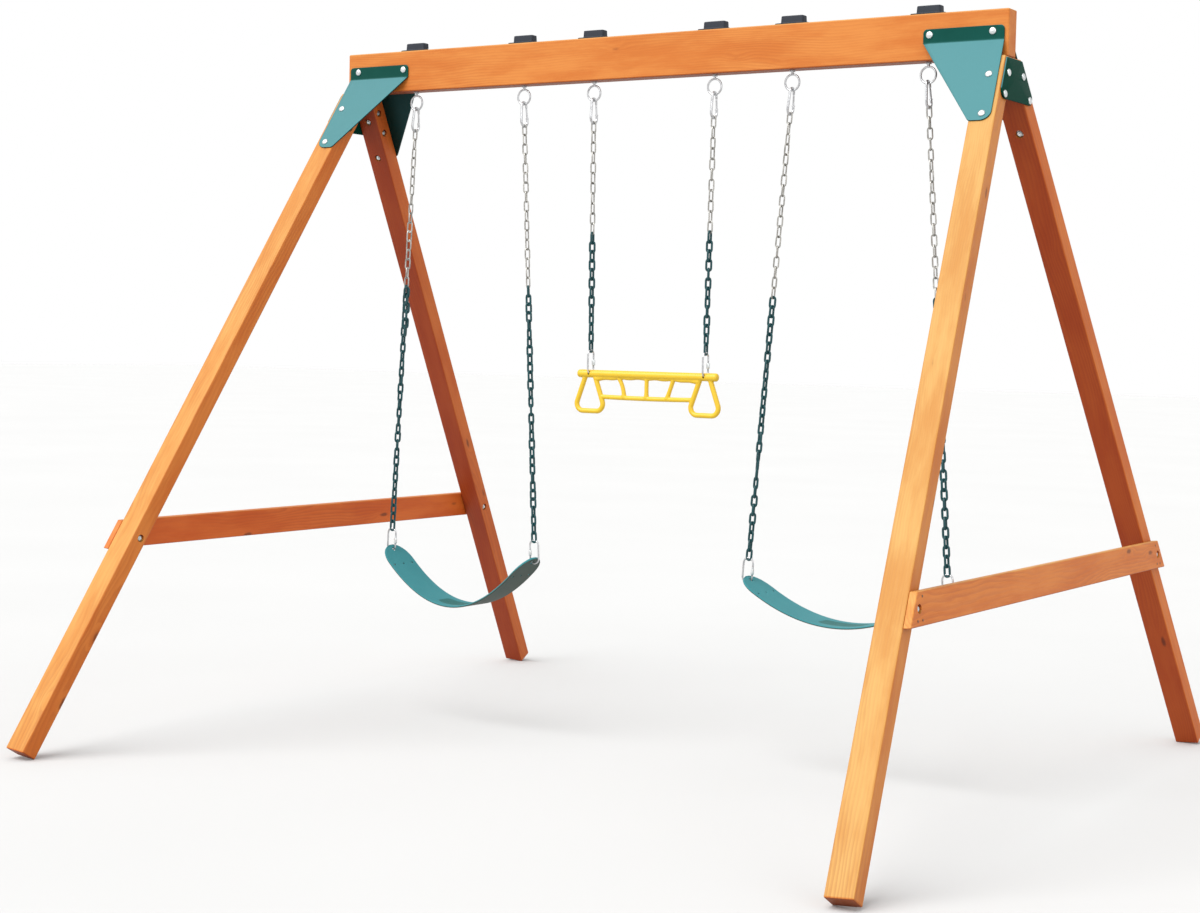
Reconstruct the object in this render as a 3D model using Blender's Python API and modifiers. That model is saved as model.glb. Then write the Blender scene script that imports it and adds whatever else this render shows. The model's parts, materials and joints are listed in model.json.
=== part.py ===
"""Timber A-frame swing set: two belt swings and a trapeze with rings under one beam.

Metres, +Z up, the beam along X. The origin is on the ground, under the middle of the beam.
Run it with: blender --background --python part.py
"""

import math

import bmesh
import bpy
import numpy as np
from mathutils import Matrix, Vector

# Clearances
TOUCH = 0.0003
SLIDE = 0.0005
BORE = 0.0005

# Timber frame
BEAM_LENGTH = 2.48
BEAM_DEPTH = 0.060
BEAM_HEIGHT = 0.140
LEG_WIDTH = 0.080
LEG_DEPTH = 0.060
LEG_REACH = 2.600
LEG_TILT = math.radians(31.26)
LEG_SPLAY = math.radians(5.01)
TIMBER_ROUNDING = 0.004
BRACE_HEIGHT = 0.090
BRACE_THICKNESS = 0.022
BRACE_LEVEL = 0.682

# Corner brackets: a flange on the beam's face, bent out along the leg's face
BEND_RISE = 0.049
PLATE = 0.004
PLATE_INSET = 0.012
FLANGE_LENGTH = 0.256
FLANGE_HEIGHT = 0.043
FLANGE_CORNER = 0.012
SLOPE_LENGTH = 0.293
SLOPE_CORNER = 0.033
FLANGE_BOLT_RISE = 0.026
FLANGE_BOLT_INSETS = (0.036, 0.236)
LEG_BOLTS = (0.125, 0.267)

# End plates, under the beam's ends
END_PLATE_DROP = 0.006
END_PLATE_HEIGHT = 0.126
END_PLATE_INSET = 0.005
END_PLATE_CORNER = 0.022
END_BOLTS = (0.100, 0.177)

# Bolts
BOLT_RADIUS = 0.004
HEAD_RADIUS = 0.011
HEAD_HEIGHT = 0.0055
NUT_RADIUS = 0.0075
NUT_HEIGHT = 0.0065
COUNTERBORE_RADIUS = 0.013
COUNTERBORE_DEPTH = 0.012

# Hangers
HANGER_SPACING = 0.458
SWING_CENTRES = {"left_swing": -0.728, "trapeze": 0.012, "right_swing": 0.748}
RING_RADIUS = 0.0248
RING_WIRE = 0.00325
RING_DROP = 0.0385
COLLAR_RADIUS = 0.0085
COLLAR_HEIGHT = 0.0055
WASHER_RADIUS = 0.010
WASHER_HEIGHT = 0.002
CAP_LENGTH = 0.078
CAP_DEPTH = 0.032
CAP_HEIGHT = 0.027
CAP_WALL = 0.0024
CAP_FLANGE_LENGTH = 0.112
CAP_FLANGE_DEPTH = 0.052
CAP_FLANGE_HEIGHT = 0.003

# Snap hooks
HOOK_LENGTH = 0.090
HOOK_WIRE = 0.004
HOOK_TOP_RADIUS = 0.0125
HOOK_FOOT_RADIUS = 0.0180
GATE_WIRE = 0.003
GATE_FOOT = 0.030
GATE_TIP = 0.062

# Chains
CHAIN_WIRE = 0.0025
CHAIN_WIDTH = 0.020
LINK_LENGTH = 0.043
CORE_RADIUS = 0.0045
COATED_WIRE = 0.00375
COATED_WIDTH = 0.0235
COATED_LINK_LENGTH = 0.0445

# Quick links
QUICK_LENGTH = 0.085
QUICK_WIDTH = 0.040
QUICK_WIRE = 0.003
QUICK_GAP = 0.007
SLEEVE_LENGTH = 0.018
SLEEVE_RADIUS = 0.0055

# Belt seats
BELT_HANG = 1.4727
BELT_SLOT_SPACING = 0.710
BELT_SPANS = {"left_swing": 0.596, "right_swing": 0.660}
BELT_TIP = 0.020
BELT_WIDTH = 0.140
BELT_THICKNESS = 0.008
BELT_CELLS = 44
BELT_END_CELLS = 6
BELT_ACROSS = 6
SLOT_LENGTH = 0.012
SLOT_WIDTH = 0.022

# Trapeze
TRAPEZE_HANG = 0.8207
TRAPEZE_SPREAD = 0.440
BAR_LENGTH = 0.530
BAR_RADIUS = 0.0130
LINK_CLEARANCE = 0.001
HANDLE_TUBE = 0.0085
HANDLE_WIDTH = 0.123
HANDLE_TOP_WIDTH = 0.032
HANDLE_DROP = 0.1235
HANDLE_CORNER = 0.020
RAIL_DROP = 0.075
RAIL_TUBE = 0.0078
STRUT_TUBE = 0.0071
STRUT_OFFSETS = ((-0.115, -0.086), (0.0, 0.0), (0.106, 0.079))

# Worked out from the sizes above: how far down the world each of a leg's own directions goes,
# and how much its lowest corner, rounded in two steps, loses to the rounding
DOWN_ALONG = math.cos(LEG_TILT) * math.cos(LEG_SPLAY)
DOWN_BACK = math.sin(LEG_TILT)
DOWN_INWARD = math.sin(LEG_SPLAY) * math.cos(LEG_TILT)
CORNER_LOSS = TIMBER_ROUNDING * (
    DOWN_ALONG + DOWN_BACK + DOWN_INWARD - (DOWN_ALONG + DOWN_BACK) / math.sqrt(2)
)
BEND_LEVEL = (
    LEG_REACH * DOWN_ALONG + LEG_DEPTH * DOWN_BACK + LEG_WIDTH * DOWN_INWARD - CORNER_LOSS
)
BEAM_BOTTOM = BEND_LEVEL - BEND_RISE
BEAM_TOP = BEAM_BOTTOM + BEAM_HEIGHT
SIDE_X = BEAM_LENGTH / 2
SIDE_SLOPE = math.tan(LEG_SPLAY) / math.cos(LEG_TILT)
PIVOT_LEVEL = BEAM_BOTTOM - RING_DROP - RING_RADIUS
CORNERS = {"front_left": (-1, 1), "front_right": (1, 1), "back_left": (-1, -1), "back_right": (1, -1)}
SIDES = {"left": -1, "right": 1}

COLOURS = {
    "stained_timber": ((0.78, 0.33, 0.09), 0.55, 0.0),
    "green_steel": ((0.02, 0.16, 0.11), 0.35, 0.2),
    "zinc_steel": ((0.62, 0.63, 0.64), 0.30, 1.0),
    "black_plastic": ((0.03, 0.035, 0.045), 0.45, 0.0),
    "coated_chain": ((0.02, 0.12, 0.10), 0.50, 0.2),
    "green_rubber": ((0.06, 0.28, 0.27), 0.60, 0.0),
    "yellow_plastic": ((0.90, 0.62, 0.04), 0.35, 0.0),
}


def clear_scene():
    """Removes whatever the scene starts with."""
    for obj in list(bpy.data.objects):
        bpy.data.objects.remove(obj)


def make_collection(name):
    """A new collection in the scene."""
    collection = bpy.data.collections.new(name)
    bpy.context.scene.collection.children.link(collection)
    return collection


clear_scene()
PARTS = make_collection("swing_set")
CUTTERS = make_collection("swing_set_cutters")
MATERIALS = {}


def material(name):
    """The Principled material of one finish, made once."""
    if name not in MATERIALS:
        colour, roughness, metallic = COLOURS[name]
        made = bpy.data.materials.new(name)
        made.use_nodes = True
        shader = made.node_tree.nodes["Principled BSDF"]
        shader.inputs["Base Color"].default_value = (*colour, 1.0)
        shader.inputs["Roughness"].default_value = roughness
        shader.inputs["Metallic"].default_value = metallic
        MATERIALS[name] = made
    return MATERIALS[name]


def mesh_of(bm, name):
    """The bmesh as a mesh, with its faces pointing out."""
    bmesh.ops.remove_doubles(bm, verts=bm.verts, dist=1e-6)
    bmesh.ops.recalc_face_normals(bm, faces=bm.faces)
    mesh = bpy.data.meshes.new(name)
    bm.to_mesh(mesh)
    bm.free()
    return mesh


def add_part(name, bm, finish, origin=(0, 0, 0), parent=None, smooth=False):
    """A part from a bmesh in world coordinates, with its origin at the given point."""
    mesh = mesh_of(bm, name)
    origin = Vector(origin)
    mesh.transform(Matrix.Translation(-origin))
    if smooth:
        mesh.shade_smooth()
        mesh.set_sharp_from_angle(angle=math.radians(35))
    obj = bpy.data.objects.new(name, mesh)
    obj.location = origin
    if parent is not None:
        obj.parent = parent
        obj.location = origin - Vector(parent["pivot"])
    mesh.materials.append(material(finish))
    PARTS.objects.link(obj)
    return obj


def add_pivot(name, place, parent=None):
    """An empty on a joint's axis, which the pieces of one moving body hang from."""
    empty = bpy.data.objects.new(name, None)
    empty["pivot"] = list(place)
    empty.location = Vector(place)
    if parent is not None:
        empty.parent = parent
        empty.location = Vector(place) - Vector(parent["pivot"])
    PARTS.objects.link(empty)
    return empty


def add_tool(name, bm):
    """A hidden object that a Boolean cuts with or joins."""
    obj = bpy.data.objects.new(name, mesh_of(bm, name))
    obj.hide_render = True
    obj.display_type = "WIRE"
    CUTTERS.objects.link(obj)
    return obj


def boolean(obj, tool, operation):
    """Adds a Boolean modifier to a part."""
    modifier = obj.modifiers.new(tool.name, "BOOLEAN")
    modifier.operation = operation
    modifier.object = tool
    modifier.solver = "EXACT"


def round_edges(obj, width, segments=1, angle=50):
    """Rounds a part's sharp edges with a Bevel."""
    modifier = obj.modifiers.new("rounding", "BEVEL")
    modifier.width = width
    modifier.segments = segments
    modifier.limit_method = "ANGLE"
    modifier.angle_limit = math.radians(angle)


def box(low, high, matrix=None):
    """A box between two corners, moved by a matrix."""
    bm = bmesh.new()
    bmesh.ops.create_cube(bm, size=1.0)
    low, high = Vector(low), Vector(high)
    size = high - low
    bmesh.ops.scale(bm, vec=size, verts=bm.verts)
    bmesh.ops.translate(bm, vec=(low + high) / 2, verts=bm.verts)
    if matrix is not None:
        bm.transform(matrix)
    return bm


def trim(bm, point, normal):
    """Cuts away what lies past a plane, and closes the cut."""
    geometry = bm.verts[:] + bm.edges[:] + bm.faces[:]
    bmesh.ops.bisect_plane(bm, geom=geometry, plane_co=point, plane_no=normal, clear_outer=True)
    rim = [edge for edge in bm.edges if edge.is_boundary]
    bmesh.ops.holes_fill(bm, edges=rim)


def lathe(profile, place, axis, steps=12):
    """Turns a profile of (radius, height) points, closed on its axis, about an axis."""
    bm = bmesh.new()
    verts = [bm.verts.new((radius, 0, height)) for radius, height in profile]
    edges = [bm.edges.new(pair) for pair in zip(verts, verts[1:])]
    bmesh.ops.spin(
        bm, geom=verts + edges, axis=(0, 0, 1), cent=(0, 0, 0),
        angle=2 * math.pi, steps=steps, use_duplicate=False,
    )
    bmesh.ops.remove_doubles(bm, verts=bm.verts, dist=1e-6)
    bmesh.ops.recalc_face_normals(bm, faces=bm.faces)
    half_step = Matrix.Rotation(math.pi / steps, 4, "Z")
    turn = Vector(axis).to_track_quat("Z", "Y").to_matrix().to_4x4()
    bm.transform(Matrix.Translation(Vector(place)) @ turn @ half_step)
    return bm


def rod(start, end, radius, steps=10):
    """A plain round rod between two points."""
    start, end = Vector(start), Vector(end)
    length = (end - start).length
    profile = ((0, 0), (radius, 0), (radius, length), (0, length))
    return lathe(profile, start, end - start, steps)


def tube(points, radius, closed=False, resolution=1):
    """A round wire along a path, as a mesh with welded caps."""
    curve = bpy.data.curves.new("wire", "CURVE")
    curve.dimensions = "3D"
    curve.bevel_depth = radius
    curve.bevel_resolution = resolution
    curve.use_fill_caps = True
    spline = curve.splines.new("POLY")
    spline.points.add(len(points) - 1)
    for point, place in zip(spline.points, points):
        point.co = (*place, 1.0)
    spline.use_cyclic_u = closed
    wire = bpy.data.objects.new("wire", curve)
    PARTS.objects.link(wire)
    bpy.context.view_layer.update()
    graph = bpy.context.evaluated_depsgraph_get()
    mesh = bpy.data.meshes.new_from_object(wire.evaluated_get(graph))
    bpy.data.objects.remove(wire)
    bm = bmesh.new()
    bm.from_mesh(mesh)
    bpy.data.meshes.remove(mesh)
    bmesh.ops.remove_doubles(bm, verts=bm.verts, dist=1e-6)
    bmesh.ops.recalc_face_normals(bm, faces=bm.faces)
    return bm


def merge(*parts):
    """Several bmeshes in one, still separate bodies."""
    joined = bmesh.new()
    for part in parts:
        mesh = bpy.data.meshes.new("merge")
        part.to_mesh(mesh)
        part.free()
        joined.from_mesh(mesh)
        bpy.data.meshes.remove(mesh)
    return joined


def outline(corners):
    """Points round a polygon whose corners are (x, y, radius), each radius drawn as an arc."""
    points = []
    count = len(corners)
    for index, (x, y, radius) in enumerate(corners):
        corner = Vector((x, y))
        before = Vector(corners[index - 1][:2]) - corner
        after = Vector(corners[(index + 1) % count][:2]) - corner
        if radius == 0:
            points.append(tuple(corner))
            continue
        half = before.angle(after) / 2
        centre = corner + (before.normalized() + after.normalized()).normalized() * (radius / math.sin(half))
        start = corner + before.normalized() * (radius / math.tan(half)) - centre
        end = corner + after.normalized() * (radius / math.tan(half)) - centre
        for step in np.linspace(0, 1, 5):
            arm = start.lerp(end, step).normalized() * radius
            points.append(tuple(centre + arm))
    return points


def corner_matrix(corner):
    """Mirrors a front right shape to one of the four corners."""
    side, face = CORNERS[corner]
    return Matrix.Diagonal((side, face, 1, 1))


def leg_frame():
    """The front right leg's frame: X across its face outwards, Y out of its face, Z down it.

    Its origin is where the face's outer edge meets the bracket's bend line.
    """
    slope = Vector((0, -math.sin(LEG_TILT), -math.cos(LEG_TILT)))
    out = Vector((0, -math.cos(LEG_TILT), math.sin(LEG_TILT)))
    down = Vector((math.sin(LEG_SPLAY), 0, 0)) + slope * math.cos(LEG_SPLAY)
    across = Vector((math.cos(LEG_SPLAY), 0, 0)) - slope * math.sin(LEG_SPLAY)
    origin = Vector((SIDE_X, -BEAM_DEPTH / 2 - TOUCH, BEND_LEVEL)) - out * TOUCH
    frame = Matrix((across, out, down)).transposed().to_4x4()
    return Matrix.Translation(origin) @ frame


def side_frame():
    """The right A-frame's outer side: X back along it, Y up its slope, Z out of it."""
    up = Vector((-SIDE_SLOPE, 0, 1)).normalized()
    back = Vector((0, 1, 0))
    out = back.cross(up)
    origin = Vector((SIDE_X, 0, BEND_LEVEL)) + out * TOUCH
    frame = Matrix((back, up, out)).transposed().to_4x4()
    return Matrix.Translation(origin) @ frame


LEG = leg_frame()
SIDE = side_frame()
SIDE_STRETCH = math.hypot(1, SIDE_SLOPE)


def on_leg(across, out, down):
    """A world point from the front right leg's frame."""
    return LEG @ Vector((across, out, down))


def on_side(back, level, out):
    """A world point on the right side's plane, at a world height and a distance out of it."""
    return SIDE @ Vector((back, (level - BEND_LEVEL) * SIDE_STRETCH, out))


def leg_bolt_line(down):
    """The ends of a bracket bolt's line through the leg: on its face, and on its back."""
    return on_leg(-LEG_WIDTH / 2, 0, down), on_leg(-LEG_WIDTH / 2, -LEG_DEPTH, down)


def side_bolt_place(down):
    """Where a bolt through the side crosses the side's plane, over the middle of the leg's depth."""
    middle = on_leg(0, -LEG_DEPTH / 2, down)
    return on_side(middle.y, middle.z, 0)


def side_axis():
    """The direction out of the right A-frame's side."""
    return (SIDE.to_3x3() @ Vector((0, 0, 1))).normalized()


def brace_bolt_down():
    """How far down the leg the brace's bolt is."""
    drop = BEND_LEVEL - BRACE_LEVEL - LEG_DEPTH / 2 * math.sin(LEG_TILT)
    return drop / (math.cos(LEG_TILT) * math.cos(LEG_SPLAY))


def side_bolts():
    """How far down the leg each bolt through its side is."""
    return (*END_BOLTS, brace_bolt_down())


def flange_bolt_places():
    """(x, z) of the two bolts through a right flange and the beam."""
    outer = SIDE_X - PLATE_INSET
    return [(outer - inset, BEND_LEVEL + FLANGE_BOLT_RISE) for inset in FLANGE_BOLT_INSETS]


def bolt(head, axis, grip):
    """A dome-headed bolt with its nut, out from a plate's face along its axis."""
    dome = [
        (HEAD_RADIUS * math.cos(turn), HEAD_HEIGHT * math.sin(turn))
        for turn in np.linspace(math.pi / 2, 0, 4)
    ]
    dome[0] = (0, HEAD_HEIGHT)
    nut = -grip
    shank = [
        (HEAD_RADIUS, -PLATE / 2),
        (BOLT_RADIUS, -PLATE / 2),
        (BOLT_RADIUS, nut),
        (NUT_RADIUS, nut),
        (NUT_RADIUS, nut - NUT_HEIGHT),
        (BOLT_RADIUS, nut - NUT_HEIGHT),
        (BOLT_RADIUS, nut - NUT_HEIGHT - BOLT_RADIUS),
        (0, nut - NUT_HEIGHT - BOLT_RADIUS),
    ]
    return lathe(dome + shank, head, axis, 8)


def recessed_bore(face, back):
    """A cutter for a bolt from one face to another, with a round recess for its nut or head at the second."""
    face, back = Vector(face), Vector(back)
    length = (back - face).length
    past = 0.02
    bore = BOLT_RADIUS + BORE
    seat = length - COUNTERBORE_DEPTH
    profile = (
        (0, length + past),
        (COUNTERBORE_RADIUS, length + past),
        (COUNTERBORE_RADIUS, seat),
        (bore, seat),
        (bore, -past),
        (0, -past),
    )
    return lathe(profile, face, back - face, 10)


def leg_cutters():
    """The bores of the front right leg, each with its recess."""
    cutters = [recessed_bore(*leg_bolt_line(down)) for down in LEG_BOLTS]
    axis = side_axis()
    for down in side_bolts():
        place = side_bolt_place(down)
        cutters.append(recessed_bore(place, place - axis * (LEG_WIDTH / math.cos(LEG_SPLAY))))
    return merge(*cutters)


def add_legs():
    """Four posts, cut level under the beam, mitred against each other, and square at the foot."""
    for corner in CORNERS:
        mirror = corner_matrix(corner)
        bm = box((-LEG_WIDTH, -LEG_DEPTH, -0.2), (0, 0, LEG_REACH), LEG)
        trim(bm, (0, 0, BEAM_BOTTOM - TOUCH), (0, 0, 1))
        trim(bm, (0, -TOUCH / 2, 0), (0, 1, 0))
        bm.transform(mirror)
        leg = add_part("leg_" + corner, bm, "stained_timber", mirror @ on_leg(0, 0, 0))
        round_edges(leg, TIMBER_ROUNDING, 2, 60)
        cutters = leg_cutters()
        cutters.transform(mirror)
        boolean(leg, add_tool("leg_bores_" + corner, cutters), "DIFFERENCE")


def add_beam():
    """The beam, with its bores for the flange bolts and the ring bolts."""
    bm = box(
        (-SIDE_X, -BEAM_DEPTH / 2, BEAM_BOTTOM), (SIDE_X, BEAM_DEPTH / 2, BEAM_TOP)
    )
    beam = add_part("beam", bm, "stained_timber", (0, 0, BEAM_BOTTOM))
    round_edges(beam, TIMBER_ROUNDING, 2)
    bores = []
    for side in SIDES.values():
        for x, z in flange_bolt_places():
            reach = BEAM_DEPTH
            bores.append(rod((side * x, -reach, z), (side * x, reach, z), BOLT_RADIUS + BORE))
    for x in hanger_places():
        low, high = (x, 0, BEAM_BOTTOM - 0.02), (x, 0, BEAM_TOP + 0.02)
        bores.append(rod(low, high, BOLT_RADIUS + BORE))
    boolean(beam, add_tool("beam_bores", merge(*bores)), "DIFFERENCE")


def add_braces():
    """A board across the outside of each pair of legs, its ends cut along the legs' faces."""
    half = BRACE_HEIGHT / 2
    for name, side in SIDES.items():
        reach = BEND_LEVEL * math.tan(LEG_TILT)
        height = (BRACE_LEVEL - BEND_LEVEL) * SIDE_STRETCH
        bm = box((-reach, height - half, 0), (reach, height + half, BRACE_THICKNESS), SIDE)
        face_point = on_leg(0, 0, 0)
        face_out = LEG.to_3x3() @ Vector((0, 1, 0))
        trim(bm, face_point, face_out)
        mirrored = Matrix.Diagonal((1, -1, 1, 1))
        trim(bm, mirrored @ face_point, mirrored @ face_out)
        bm.transform(Matrix.Diagonal((side, 1, 1, 1)))
        middle = Vector((side * on_side(0, BRACE_LEVEL, 0).x, 0, BRACE_LEVEL))
        brace = add_part("brace_" + name, bm, "stained_timber", middle)
        round_edges(brace, TIMBER_ROUNDING / 2)
        axis = side_axis()
        place = side_bolt_place(brace_bolt_down())
        face = place + axis * BRACE_THICKNESS
        cutters = []
        for turn in (1, -1):
            cutter = recessed_bore(place, face)
            cutter.transform(Matrix.Diagonal((side, turn, 1, 1)))
            cutters.append(cutter)
        boolean(brace, add_tool("brace_bores_" + name, merge(*cutters)), "DIFFERENCE")


def bracket_sheet():
    """The front right bracket's inner surface: the flange, and the plate down the leg."""
    outer = SIDE_X - PLATE_INSET
    inner = outer - FLANGE_LENGTH
    depth = -BEAM_DEPTH / 2 - TOUCH
    splay = math.tan(LEG_SPLAY)
    foot_inner = SIDE_X - LEG_WIDTH / math.cos(LEG_SPLAY) + SLOPE_LENGTH * splay
    foot_outer = outer + SLOPE_LENGTH * splay
    flange = outline([
        (inner, 0, 0), (outer, 0, 0),
        (outer, FLANGE_HEIGHT, FLANGE_CORNER), (inner, FLANGE_HEIGHT, FLANGE_CORNER),
    ])
    slope = outline([
        (outer, 0, 0), (inner, 0, 0),
        (foot_inner, SLOPE_LENGTH, 0), (foot_outer, SLOPE_LENGTH, SLOPE_CORNER),
    ])
    bm = bmesh.new()
    bm.faces.new([bm.verts.new((x, depth, BEND_LEVEL + z)) for x, z in flange])
    sin, cos = math.sin(LEG_TILT), math.cos(LEG_TILT)
    bm.faces.new([bm.verts.new((x, depth - u * sin, BEND_LEVEL - u * cos)) for x, u in slope])
    bmesh.ops.remove_doubles(bm, verts=bm.verts, dist=1e-6)
    bmesh.ops.recalc_face_normals(bm, faces=bm.faces)
    if bm.faces[:][0].normal.y > 0:
        bmesh.ops.reverse_faces(bm, faces=bm.faces)
    return bm


def bracket_bolts(face):
    """The leg bolts of a bracket and, on a front one, the bolts through the beam."""
    bolts = []
    out = (LEG.to_3x3() @ Vector((0, 1, 0))).normalized()
    for down in LEG_BOLTS:
        place, _ = leg_bolt_line(down)
        head = place + out * (TOUCH + PLATE)
        grip = TOUCH + PLATE + LEG_DEPTH - COUNTERBORE_DEPTH + TOUCH
        bolts.append(bolt(head, out, grip))
    if face < 0:
        return bolts
    for x, z in flange_bolt_places():
        head = (x, -BEAM_DEPTH / 2 - TOUCH - PLATE, z)
        bolts.append(bolt(head, (0, -1, 0), BEAM_DEPTH + 2 * PLATE + 3 * TOUCH))
    return bolts


def solidify(bm, thickness):
    """Thickens an open sheet along its normals into a closed plate."""
    mesh = bpy.data.meshes.new("sheet")
    bm.to_mesh(mesh)
    bm.free()
    sheet = bpy.data.objects.new("sheet", mesh)
    modifier = sheet.modifiers.new("plate", "SOLIDIFY")
    modifier.thickness = thickness
    modifier.offset = 1.0
    modifier.use_even_offset = True
    PARTS.objects.link(sheet)
    bpy.context.view_layer.update()
    graph = bpy.context.evaluated_depsgraph_get()
    made = bpy.data.meshes.new_from_object(sheet.evaluated_get(graph))
    bpy.data.objects.remove(sheet)
    plate = bmesh.new()
    plate.from_mesh(made)
    bpy.data.meshes.remove(made)
    return plate


def add_brackets():
    """Four bent plates that hold the legs to the beam, with their bolts."""
    for corner, (_, face) in CORNERS.items():
        mirror = corner_matrix(corner)
        plate = solidify(bracket_sheet(), PLATE)
        plate.transform(mirror)
        place = mirror @ Vector((SIDE_X, -BEAM_DEPTH / 2, BEND_LEVEL))
        bracket = add_part("corner_bracket_" + corner, plate, "green_steel", place)
        if face < 0:
            bores = [
                rod((x, -BEAM_DEPTH, z), (x, 0, z), BOLT_RADIUS + BORE)
                for x, z in flange_bolt_places()
            ]
            cutters = merge(*bores)
            cutters.transform(mirror)
            boolean(bracket, add_tool("flange_bores_" + corner, cutters), "DIFFERENCE")
        for index, one in enumerate(bracket_bolts(face)):
            one.transform(mirror)
            boolean(bracket, add_tool(f"bracket_bolt_{corner}_{index}", one), "UNION")


def add_end_plates():
    """A flat plate with four bolts over each end of the legs, just under the beam."""
    top = BEAM_BOTTOM - END_PLATE_DROP
    bottom = top - END_PLATE_HEIGHT
    for name, side in SIDES.items():
        rows = []
        for level in (top, bottom):
            drop = BEND_LEVEL - level
            half = BEAM_DEPTH / 2 + drop * math.tan(LEG_TILT) - END_PLATE_INSET
            rows.append((half, (level - BEND_LEVEL) * SIDE_STRETCH))
        (top_half, high), (low_half, low) = rows
        shape = outline([
            (-top_half, high, 0.004), (-low_half, low, END_PLATE_CORNER),
            (low_half, low, END_PLATE_CORNER), (top_half, high, 0.004),
        ])
        bm = bmesh.new()
        bm.faces.new([bm.verts.new((x, y, 0)) for x, y in shape])
        if bm.faces[:][0].normal.z < 0:
            bmesh.ops.reverse_faces(bm, faces=bm.faces)
        bm.normal_update()
        plate = solidify(bm, PLATE)
        plate.transform(SIDE)
        mirror = Matrix.Diagonal((side, 1, 1, 1))
        plate.transform(mirror)
        middle = mirror @ on_side(0, top, 0)
        part = add_part("end_plate_" + name, plate, "green_steel", middle)
        axis = side_axis()
        grip = PLATE + TOUCH + LEG_WIDTH / math.cos(LEG_SPLAY) - COUNTERBORE_DEPTH
        for index, down in enumerate(END_BOLTS):
            for turn in (1, -1):
                head = side_bolt_place(down) + axis * PLATE
                one = bolt(head, axis, grip)
                one.transform(Matrix.Diagonal((side, turn, 1, 1)))
                boolean(part, add_tool(f"end_bolt_{name}_{index}_{turn}", one), "UNION")


def hanger_places():
    """The x of each hanger, from left to right."""
    return [centre + side * HANGER_SPACING / 2 for centre in SWING_CENTRES.values() for side in (-1, 1)]


def arc(centre, radius, start, end, steps):
    """Points of an arc in a plane, as (across, up), angles in degrees."""
    turns = np.radians(np.linspace(start, end, steps))
    return [(centre[0] + radius * math.cos(a), centre[1] + radius * math.sin(a)) for a in turns]


def add_hangers():
    """The ring bolts through the beam, and the caps over their nuts."""
    top = BEAM_BOTTOM + BEAM_HEIGHT
    for number, x in enumerate(hanger_places(), 1):
        middle = BEAM_BOTTOM - RING_DROP
        ring = [(x + a, 0, middle + b) for a, b in arc((0, 0), RING_RADIUS, 0, 337.5, 16)]
        eye = tube(ring, RING_WIRE, closed=True)
        collar = BEAM_BOTTOM - TOUCH
        washer = top + TOUCH
        nut = washer + WASHER_HEIGHT
        profile = (
            (0, middle + RING_RADIUS),
            (BOLT_RADIUS, middle + RING_RADIUS),
            (BOLT_RADIUS, collar - COLLAR_HEIGHT),
            (COLLAR_RADIUS, collar - COLLAR_HEIGHT),
            (COLLAR_RADIUS, collar),
            (BOLT_RADIUS, collar),
            (BOLT_RADIUS, washer),
            (WASHER_RADIUS, washer),
            (WASHER_RADIUS, nut),
            (NUT_RADIUS, nut),
            (NUT_RADIUS, nut + NUT_HEIGHT),
            (BOLT_RADIUS, nut + NUT_HEIGHT),
            (BOLT_RADIUS, nut + NUT_HEIGHT + BOLT_RADIUS),
            (0, nut + NUT_HEIGHT + BOLT_RADIUS),
        )
        shank = lathe(profile, (x, 0, 0), (0, 0, 1), 8)
        name = f"ring_bolt_{number}"
        bolt_part = add_part(name, eye, "zinc_steel", (x, 0, BEAM_BOTTOM), smooth=True)
        boolean(bolt_part, add_tool(name + "_shank", shank), "UNION")
        add_cap(number, x, top + TOUCH)


def add_cap(number, x, base):
    """A hollow cap with a thin flange, over one nut."""
    bm = box(
        (x - CAP_LENGTH / 2, -CAP_DEPTH / 2, base),
        (x + CAP_LENGTH / 2, CAP_DEPTH / 2, base + CAP_HEIGHT),
    )
    cap = add_part(f"cap_{number}", bm, "black_plastic", (x, 0, base))
    round_edges(cap, 0.004, 2)
    flange = box(
        (x - CAP_FLANGE_LENGTH / 2, -CAP_FLANGE_DEPTH / 2, base),
        (x + CAP_FLANGE_LENGTH / 2, CAP_FLANGE_DEPTH / 2, base + CAP_FLANGE_HEIGHT),
    )
    boolean(cap, add_tool(f"cap_flange_{number}", flange), "UNION")
    hollow = box(
        (x - CAP_LENGTH / 2 + CAP_WALL, -CAP_DEPTH / 2 + CAP_WALL, base - 0.01),
        (x + CAP_LENGTH / 2 - CAP_WALL, CAP_DEPTH / 2 - CAP_WALL, base + CAP_HEIGHT - CAP_WALL),
    )
    boolean(cap, add_tool(f"cap_hollow_{number}", hollow), "DIFFERENCE")


def hang_frame(pivot, lean):
    """A frame at a ring's wire: Z up a line that leans outwards as it goes down, X along the beam."""
    return Matrix.Translation(Vector(pivot)) @ Matrix.Rotation(lean, 4, "Y")


def hook_top():
    """The height of the hook's top wire over the pivot."""
    return RING_WIRE + HOOK_WIRE + SLIDE


def hook_foot():
    """The height of the hook's bottom wire, under the pivot."""
    return hook_top() - (HOOK_LENGTH - 2 * HOOK_WIRE)


def gate_line():
    """The ends of the gate: its hinge, and its tip, as (y, z) in the hook's frame."""
    foot, top = hook_foot(), hook_top()
    low, high = foot + HOOK_FOOT_RADIUS, top - HOOK_TOP_RADIUS
    ends = []
    for height in (foot + GATE_FOOT, foot + GATE_TIP):
        share = (height - low) / (high - low)
        ends.append((HOOK_FOOT_RADIUS + (HOOK_TOP_RADIUS - HOOK_FOOT_RADIUS) * share, height))
    return ends


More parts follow.
